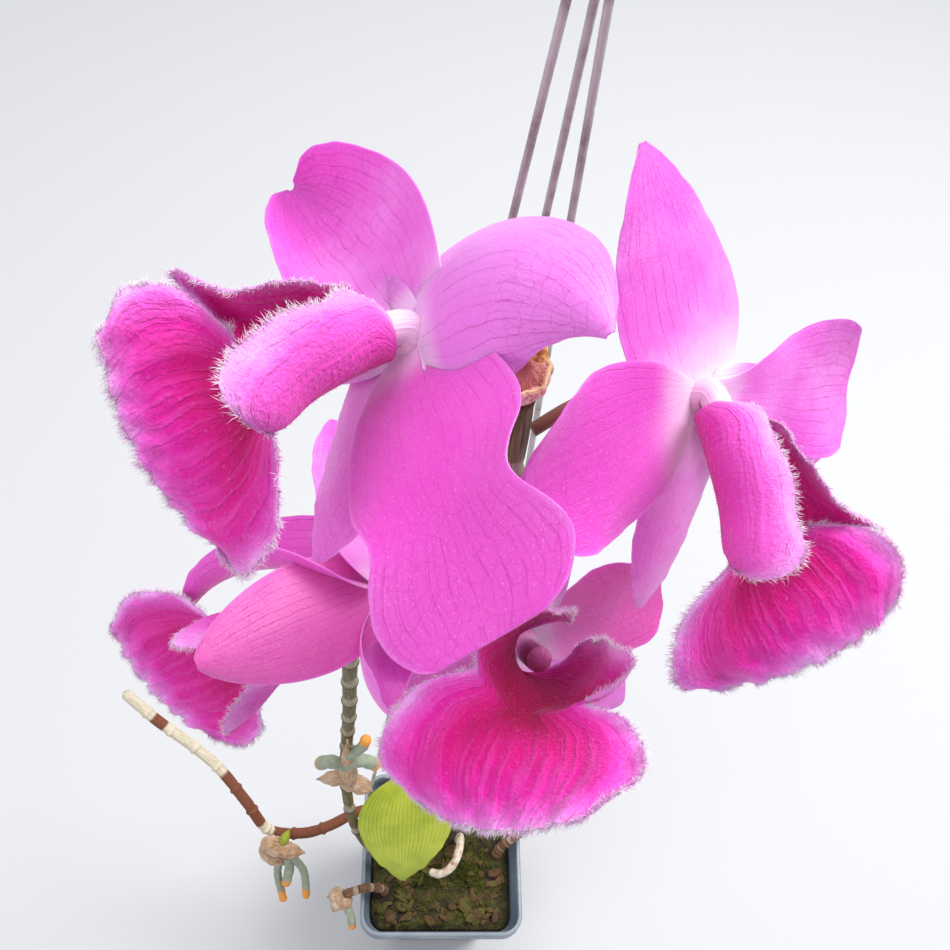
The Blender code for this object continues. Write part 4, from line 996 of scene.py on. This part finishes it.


# The blooms: five thin, soft petals and sepals round a short column, each on a stalk from a node of the cane.
# Pale lilac-pink with magenta veins, near white at the base; pale specks painted into the colour stand for the glints
# of skin cells that glisten, and whole tepals are tinted by painted light and shade.

SEPAL = Blade(clock=0, lean=0, curl=-20, hook=0, length=38, width=17, waist=0, sway=0, roll=0, twist=0, cup=-25,
              flare=0, peak=0.42, claw=0.5, tip=0.75, wave=0.6, waves=1.5, phase=0)
PETAL = Blade(clock=90, lean=5, curl=-15, hook=0, length=40, width=27, waist=0, sway=0, roll=0, twist=0, cup=15,
              flare=0.4, peak=0.6, claw=0.22, tip=0.5, wave=2.0, waves=1.5, phase=0)
Lip = namedtuple("Lip", "clock sway lean curl length scale open roll twist wave waves phase")
LIP = Lip(clock=180, sway=0, lean=55, curl=-35, length=43, scale=1.0, open=1.0, roll=0, twist=0, wave=1.2, waves=2.5,
          phase=0)
COLUMN_RADIUS = 2.3
COLUMN_LENGTH = 8
COLUMN_FOOT = 2.6
OVARY_RADIUS = 1.9
PEDICEL_RADIUS = 1.2

PALE = colour(243, 146, 232)
ROSE = colour(234, 96, 212)
# The next three colours tint whole tepals: painted light and shade for how single tepals lie in the light.
LILAC = colour(228, 132, 226)
SHADE_ROSE = colour(228, 70, 196)
SALMON = colour(228, 96, 172)
VEIN = colour(200, 34, 158)
WHITE = colour(255, 240, 252)

# Each bloom's tones tint whole tepals by number: painted light and shade, not a colour of their own.
Bloom = namedtuple("Bloom", "place rotation joint_height white tones tepals lip")
BLOOMS = {
    "a": Bloom(place=(-27.6, -48.7, 521.2), rotation=(46, -5, -73), joint_height=488, white=0.2, tones={0: LILAC, 2: SHADE_ROSE},
               tepals=(
        SEPAL._replace(clock=0, sway=92, lean=20, curl=-40, length=38, width=30, cup=-95, roll=10, peak=0.33, tip=0.9),
        PETAL._replace(clock=-90, sway=-27, lean=-9, curl=20, length=44, width=28, cup=100, flare=0, roll=-10, peak=0.5,
                       claw=0.5, tip=0.8),
        PETAL._replace(clock=97, lean=8, curl=-20, length=44, width=33, wave=2, waves=2, peak=0.66, tip=0.3, waist=0.33),
        SEPAL._replace(clock=-128, lean=-5, length=44),
        SEPAL._replace(clock=165, lean=-12, curl=-10, length=37),
    ), lip=LIP._replace(clock=158, sway=32, roll=-20, twist=65, lean=52, curl=-35, length=34)),
    "b": Bloom(place=(17.6, -39.4, 498.9), rotation=(59, 14, 37), joint_height=486, white=0.75, tones={1: SHADE_ROSE},
               tepals=(
        SEPAL._replace(clock=-8, width=25, peak=0.36, tip=0.9, claw=0.6, length=39),
        PETAL._replace(clock=-96, length=37, width=27),
        PETAL._replace(clock=103, lean=12, length=37, width=24, peak=0.75),
        SEPAL._replace(clock=-178, lean=-8, length=44),
        SEPAL._replace(clock=122, lean=10, length=40),
    ), lip=LIP._replace(clock=206, sway=-50, roll=20, twist=-65, lean=42, curl=-22, length=42)),
    "c": Bloom(place=(-30, -49.5, 452), rotation=(130, 28, -60), joint_height=436, white=0.08, tones={0: SALMON, 1: SHADE_ROSE, 4: SHADE_ROSE},
               tepals=(
        SEPAL._replace(clock=-5, lean=35, curl=5, length=37, width=20, cup=35),
        PETAL._replace(clock=-85, lean=50, curl=60, hook=20, length=46, width=26, cup=-110, flare=0, wave=0.5,
                       peak=0.3, tip=0.8),
        PETAL._replace(clock=78, lean=55, curl=-125, length=32, width=22, cup=-70, flare=0),
        SEPAL._replace(clock=-105, lean=8, length=33, width=22, cup=15),
        SEPAL._replace(clock=145, lean=-20, length=34),
    ), lip=LIP._replace(lean=100, curl=-20, length=54, twist=20)),
    "d": Bloom(place=(-6, -60.1, 453.1), rotation=(59, 15, 15), joint_height=450, white=0.45, tones={2: SALMON},
               tepals=(
        SEPAL._replace(clock=-10, lean=18),
        PETAL._replace(clock=-100, lean=22, length=24, width=22),
        PETAL._replace(clock=75, length=29, width=20),
        SEPAL._replace(clock=-122, lean=0, length=22),
        SEPAL._replace(clock=125, lean=5, length=32),
    ), lip=LIP._replace(clock=330, sway=-120, lean=71, curl=-34, roll=-80, twist=-6, length=43, scale=1.1)),
}
TEPAL_ROWS = 60
TEPAL_COLUMNS = 40


def petal_finish(name, white, tones):
    """Petal skin: thin veins that fork towards the margin, a faint net between them, a white base, painted glints as
    pale specks, and whole tepals tinted by painted light and shade.
    """
    finish = Finish(name, Roughness=0.42, Specular_IOR_Level=0.5, Sheen_Weight=0.2, Sheen_Roughness=0.4,
                    Sheen_Tint=(1.0, 0.8, 0.95), Subsurface_Weight=0.35, Subsurface_Radius=(1.0, 0.35, 0.75),
                    Subsurface_Scale=0.0012)
    share = finish.node("Math", {"operation": "FRACT"}, finish.stored("blade", "X"))
    tepal = finish.node("Math", {"operation": "FLOOR"}, finish.stored("blade", "X"))
    across = finish.stored("blade", "Y")
    here = finish.place()
    cloud = finish.noise(here, 60, 4)
    faint = finish.remap(finish.noise(here, 200, 2), 0.3, 0.7, 0.35, 1.0)
    wobble = (finish.noise(here, 130, 4) - 0.5) * 0.16
    fan = (across + wobble) * (1.1 - 0.25 * share)
    main = abs(finish.node("Math", {"operation": "FRACT"}, fan * 6.5 + 0.5) - 0.5)
    fork = abs(finish.node("Math", {"operation": "FRACT"}, fan * 13.0 + 0.25 + wobble * 8) - 0.5)
    main_vein = finish.remap(main, 0.07, 0.0) * faint
    fork_vein = finish.remap(fork, 0.09, 0.0) * finish.remap(share, 0.3, 0.6) * faint
    bent = finish.node("VectorMath", {"operation": "ADD"}, here, finish.vector(wobble * 0.006, wobble * 0.004, wobble * 0.005))
    cells = finish.node("TexVoronoi", {"feature": "DISTANCE_TO_EDGE"}, Vector=bent, Scale=380, out="Distance")
    net = finish.remap(cells, 0.05, 0.0) * finish.remap(share, 0.25, 0.7)
    glitter = finish.noise(here, 3200, 2)
    flesh = finish.mix(finish.remap(cloud + share * 0.25, 0.38, 0.78), PALE, ROSE)
    # Whole tepals listed by number take a copy of the petal colour: painted shade and light for how each tepal is lit.
    for number, tone in tones.items():
        chosen = finish.node("Math", {"operation": "COMPARE"}, tepal, number, 0.1)
        flesh = finish.mix(chosen * 0.7, flesh, tone)
    veined = finish.mix(main_vein * 0.55 + fork_vein * 0.35 + net * 0.3, flesh, VEIN)
    edged = finish.mix(finish.remap(abs(across), 0.93, 1.0) * 0.35, veined, PALE)
    base = finish.remap(share + (cloud - 0.5) * 0.25, 0.1 + 0.32 * white, 0.02)
    coloured = finish.mix(base * (0.3 + 0.65 * white), edged, WHITE)
    # Pale specks mixed into the colour by the fine noise: painted glints of the glistening skin cells.
    painted_sparkle = finish.remap(glitter, 0.6, 0.74) * 0.3
    finish.set(Base_Color=finish.mix(painted_sparkle, coloured, colour(255, 214, 250)),
               Roughness=finish.remap(glitter, 0.35, 0.65, 0.5, 0.32))
    finish.bump(glitter * 0.3 + main_vein * -0.25 + fork_vein * -0.15 + cloud * 0.5, 0.00022)
    return finish


stalk_skin = Finish("bloom_stalk", Roughness=0.45, Subsurface_Weight=0.2, Subsurface_Radius=(1.0, 0.5, 0.5),
                    Subsurface_Scale=0.001)
stalk_share = stalk_skin.stored("grain", "X")
stalk_streak = stalk_skin.noise(stalk_skin.vector(stalk_share * 0.05, stalk_skin.stored("grain", "Y"),
                                                  stalk_skin.stored("grain", "Z")), 8, 3)
stalk_skin.set(Base_Color=stalk_skin.node("ValToRGB", {"stops": (
    (0.0, colour(112, 62, 40)), (0.45, colour(196, 132, 116)), (0.7, colour(232, 150, 200)), (0.85, colour(250, 214, 240)),
    (1.0, colour(214, 96, 178)))}, stalk_share + (stalk_streak - 0.5) * 0.15))
stalk_skin.bump(stalk_streak, 0.0003)


def cane_joint(height, towards):
    """The point just off the flowering cane's skin at a height, on the side that looks towards a point, in mm."""
    fine, _ = smooth_path(FLOWERING_CANE.path)
    axis = Vector([np.interp(height, fine[:, 2], fine[:, side]) for side in range(3)])
    away = Vector(towards) - axis
    away.z = 0
    return axis + away.normalized() * (FLOWERING_CANE.radius * NODE_SWELL + 0.1)


def lip_axes(lip):
    """Directions along, across and out of the lip's face at its foot, where it lies along the column."""
    return blade_frame(*(np.array((angle,)) for angle in (lip.clock, lip.lean, lip.roll)))


def stalk_shape(bloom, matrix):
    """Pedicel, ribbed ovary, the cup that holds the tepals, and the column with its cap, as one tube."""
    back = Vector((0, 0, -11))
    joint = matrix.inverted() @ cane_joint(bloom.joint_height, matrix @ back)
    foot = Vector((0, 0, COLUMN_FOOT))
    column = Vector(lip_axes(bloom.lip)[0][0])
    path = (joint, joint.lerp(back, 0.5) + Vector((0, 0, -2)), back, (0, 0, -5), (0, 0, 0), foot,
            foot + column * (COLUMN_LENGTH - 1), foot + column * COLUMN_LENGTH)
    widths = (PEDICEL_RADIUS, PEDICEL_RADIUS, OVARY_RADIUS, 2.7, 3.0, COLUMN_RADIUS, COLUMN_RADIUS, COLUMN_RADIUS * 0.45)
    fine, travel = smooth_path(path)
    knots = travel[::24]
    stops = np.linspace(0, travel[-1], 72)

    def radius_at(stop, angles):
        ribs = 0.07 * math.exp(-((stop - knots[2]) / 6) ** 2) * np.sin(6 * angles)
        return np.interp(stop, knots, widths) * (1 + ribs)
    points, faces, stored = tube(path, stops, radius_at, 24)
    stored[:, 0] /= travel[-1]
    return points, faces, stored


bloom_places = {}
for key, bloom in BLOOMS.items():
    matrix = place_matrix(bloom.place, bloom.rotation)
    bloom_places[key] = matrix
    tepal_u = even_rows(TEPAL_ROWS)
    tepal_v = np.linspace(-1, 1, TEPAL_COLUMNS)
    shapes = []
    for number, blade in enumerate(bloom.tepals):
        sheet = tepal_sheet(blade, tepal_u, tepal_v, 1.0, 0.16, seed=number + 2.0)
        shapes.append(thicken(sheet, tepal_u, tepal_v, 0.45, number))
    points, faces = gather([(points, faces) for points, faces, _ in shapes])
    stored = np.concatenate([stored for _, _, stored in shapes])
    make_piece(f"bloom_{key}_tepals", placed(points, matrix), faces, petal_finish(f"petal_{key}", bloom.white, bloom.tones), "petal",
               (f"bloom_{key}",), sharp_angle=75, stored={"blade": stored})
    points, faces, stored = stalk_shape(bloom, matrix)
    points = placed(np.array(points) / MM, matrix)
    make_piece(f"bloom_{key}_stalk", points, faces, stalk_skin, "petal", stored={"grain": stored})


# The lips: each bloom's third petal, rolled round the column as a tube and opened into a wide waved mouth.
# Velvety, deep crimson in the throat and pale at the margin, with a fringe of short white hairs.

LIP_HALF_WIDTH = ((0, 7), (0.06, 13), (0.16, 16), (0.34, 19), (0.43, 21), (0.51, 10), (0.62, 15), (0.8, 19), (1, 15))
LIP_WRAP = ((0, 110), (0.06, 150), (0.2, 155), (0.34, 150), (0.43, 130), (0.51, 80), (0.62, 30), (0.8, 5), (1, -5))
LIP_FLARE = ((0, 0), (0.3, 0.1), (0.5, 0.3), (0.7, 0.5), (1, 0.5))
LIP_THRUST = ((0, 0), (0.1, 0.5), (0.22, 2), (0.34, 6), (0.43, 7), (0.51, 0), (0.62, -2), (0.8, -1), (1, -3))
LIP_FOOT = 2.2
LIP_STANDOFF = 1.4
LIP_ROWS = 96
LIP_COLUMNS = 80
LIP_THICKNESS = 0.5
FRINGE_HAIRS = 3600
VELVET_HAIRS = 8000

velvet = Finish("lip_velvet", Roughness=0.75, Specular_IOR_Level=0.25, Sheen_Weight=0.25, Sheen_Roughness=0.4,
                Sheen_Tint=(1.0, 0.72, 0.92), Subsurface_Weight=0.25, Subsurface_Radius=(1.0, 0.2, 0.6),
                Subsurface_Scale=0.001)
lip_u = velvet.stored("blade", "X")
lip_v = velvet.stored("blade", "Y")
lip_face = velvet.stored("blade", "Z")
lip_here = velvet.place()
lip_cloud = velvet.noise(lip_here, 90, 4)
lip_fuzz = velvet.noise(lip_here, 1500, 3)
lip_wobble = (velvet.noise(lip_here, 220, 2) - 0.5) * 0.1
lip_streak = velvet.noise(velvet.vector(lip_v + lip_wobble, lip_u * 0.12, 0), 16, 3)
lip_ray = velvet.remap(lip_streak, 0.42, 0.66)
lip_out = velvet.node("Math", {"operation": "MAXIMUM"}, abs(lip_v), (lip_u - 0.45) * 1.8)
lip_reach = lip_out + (lip_cloud - 0.5) * 0.3 + (lip_fuzz - 0.5) * 0.12
lip_inside = velvet.node("ValToRGB", {"stops": (
    (0.2, colour(160, 0, 74)), (0.5, colour(206, 6, 126)), (0.76, colour(222, 30, 164)), (0.9, colour(232, 96, 204)),
    (1.0, colour(240, 168, 236)))}, lip_reach)
lip_inside = velvet.mix(lip_ray * velvet.remap(lip_out, 0.25, 0.7) * 0.3, lip_inside, colour(240, 92, 200))
lip_outside = velvet.node("ValToRGB", {"stops": (
    (0.1, colour(196, 20, 120)), (0.45, colour(222, 60, 176)), (0.8, colour(228, 96, 200)), (1.0, colour(240, 160, 232)))},
    lip_reach)
lip_skin = velvet.mix(lip_face, lip_outside, lip_inside)
velvet.set(Base_Color=velvet.mix(velvet.remap(lip_fuzz, 0.6, 0.74) * 0.2, lip_skin, colour(248, 150, 224)),
           Roughness=velvet.remap(lip_fuzz, 0.3, 0.7, 0.65, 0.9))
velvet.bump(lip_fuzz + lip_ray * 0.5, 0.0004)

fringe = Finish("lip_hairs", Roughness=0.5, Specular_IOR_Level=0.4, Subsurface_Weight=0.3,
                Subsurface_Radius=(1.0, 0.7, 0.9), Subsurface_Scale=0.0006)
fringe_tint = fringe.noise(fringe.place(), 500, 2)
fringe_pale = fringe.mix(fringe.remap(fringe_tint, 0.4, 0.6), colour(250, 196, 242), colour(255, 236, 252))
fringe.set(Base_Color=fringe.mix(fringe.stored("blade", "Z"), fringe_pale, colour(206, 20, 136)))


def lip_sheet(lip, u, v):
    """The middle surface of the lip: a tube round the column that opens into a wide waved mouth."""
    fine_u = np.linspace(0, 1, 61)
    angles = [(lip.clock + lip.sway * at, lip.lean + lip.curl * at ** 1.2, lip.roll + lip.twist * at)
              for at in (fine_u, u)]
    along, _, face = (axis[0] for axis in lip_axes(lip))
    start = np.array((0, 0, COLUMN_FOOT)) + LIP_FOOT * along - (COLUMN_RADIUS + LIP_STANDOFF) * face
    spine = run_spine(start, blade_frame(*angles[0])[0], fine_u, u, lip.length)
    along, across, face = blade_frame(*angles[1])
    ripple = []
    for at in u:
        broad = lip.wave * at ** 2 * np.abs(v) ** 2 * np.sin(2 * math.pi * lip.waves * v + lip.phase)
        crimped = 0.35 * np.maximum(np.abs(v), at) ** 9 * (np.sin(41 * at + 17 * v) + 0.7 * np.sin(29 * v - 53 * at))
        ripple.append(broad + crimped + 0.12 * np.cos(8 * math.pi * v) * at)
    return spread(u, v, spine, along, across, face, lip.scale * through(LIP_HALF_WIDTH, u), lip.open * through(LIP_WRAP, u),
                  through(LIP_FLARE, u), lip.scale * through(LIP_THRUST, u), ripple)


def lip_hairs(lip, seed):
    """Roots, directions, lengths and depth of colour of the margin's fringe and of the velvet on both faces."""
    dice = np.random.default_rng(seed)
    fine_u = np.linspace(0, 1, 161)
    fine_v = np.linspace(-1, 1, 161)
    sheet = lip_sheet(lip, fine_u, fine_v)
    down = np.gradient(sheet, axis=0)
    over = np.gradient(sheet, axis=1)
    normal = np.cross(over, down)
    area = np.linalg.norm(normal, axis=2)
    normal /= area[:, :, None]
    down /= np.linalg.norm(down, axis=2)[:, :, None]
    over /= np.linalg.norm(over, axis=2)[:, :, None]
    chosen = dice.choice(area.size, VELVET_HAIRS, p=(area / area.sum()).ravel())
    row, column = np.unravel_index(chosen, area.shape)
    side = np.where(dice.random(VELVET_HAIRS) < 0.5, 1.0, -1.0)
    roots = sheet[row, column] + normal[row, column] * (side * LIP_THICKNESS * 0.4)[:, None] + dice.normal(0, 0.06, (VELVET_HAIRS, 3))
    ways = normal[row, column] * side[:, None] + down[row, column] * 0.5 + dice.normal(0, 0.45, (VELVET_HAIRS, 3))
    lengths = dice.uniform(0.15, 0.4, VELVET_HAIRS)
    near = np.maximum(np.abs(fine_v[column]), 1.8 * (fine_u[row] - 0.45))
    depth = np.clip((1.05 - near) * 2.5, 0, 1) * np.where(side > 0, 1, 0.75)

    edge = [(at, 0, -1) for at in range(8, 160)] + [(160, at, 0) for at in range(161)] + [(at, 160, 1) for at in range(8, 160)]
    spot = dice.integers(0, len(edge), FRINGE_HAIRS)
    row = np.array([edge[at][0] for at in spot])
    column = np.array([edge[at][1] for at in spot])
    turn = np.array([edge[at][2] for at in spot])
    outward = np.where((turn == 0)[:, None], down[row, column], over[row, column] * turn[:, None])
    margin_roots = sheet[row, column] - outward * dice.uniform(0, 0.5, FRINGE_HAIRS)[:, None] + dice.normal(0, 0.1, (FRINGE_HAIRS, 3))
    clump = np.sin(np.arange(len(edge)) * 0.9)[spot][:, None] * 0.35
    margin_ways = outward + normal[row, column] * (clump + dice.normal(0, 0.35, (FRINGE_HAIRS, 1)))
    margin_ways += np.cross(outward, normal[row, column]) * dice.normal(0, 0.4, (FRINGE_HAIRS, 1))
    margin_lengths = dice.uniform(0.7, 1.7, FRINGE_HAIRS) * np.clip(row / 40, 0.5, 1)
    return (np.concatenate((roots, margin_roots)), np.concatenate((ways, margin_ways)),
            np.concatenate((lengths, margin_lengths)), np.concatenate((depth, np.zeros(FRINGE_HAIRS))))


for seed, (key, bloom) in enumerate(BLOOMS.items()):
    matrix = bloom_places[key]
    rows = even_rows(LIP_ROWS, 1.0)
    columns = np.linspace(-1, 1, LIP_COLUMNS)
    points, faces, stored = thicken(lip_sheet(bloom.lip, rows, columns), rows, columns, LIP_THICKNESS)
    make_piece(f"bloom_{key}_lip_sheet", placed(points, matrix), faces, velvet, "lip", (f"bloom_{key}_lip",),
               sharp_angle=75, stored={"blade": stored})
    roots, ways, lengths, depth = lip_hairs(bloom.lip, seed + 20)
    widths = np.where(lengths > 0.45, 0.055, 0.035) * MM
    turned = np.asarray(ways) @ np.array(matrix.to_3x3()).T
    points, faces = spikes(placed(roots, matrix), turned, lengths * MM, widths, 0.35, seed + 40)
    stored = np.zeros((len(points), 3))
    stored[:, 2] = np.repeat(depth, 7)
    make_piece(f"bloom_{key}_lip_hairs", points, faces, fringe, "lip", sharp_angle=180, stored={"blade": stored})
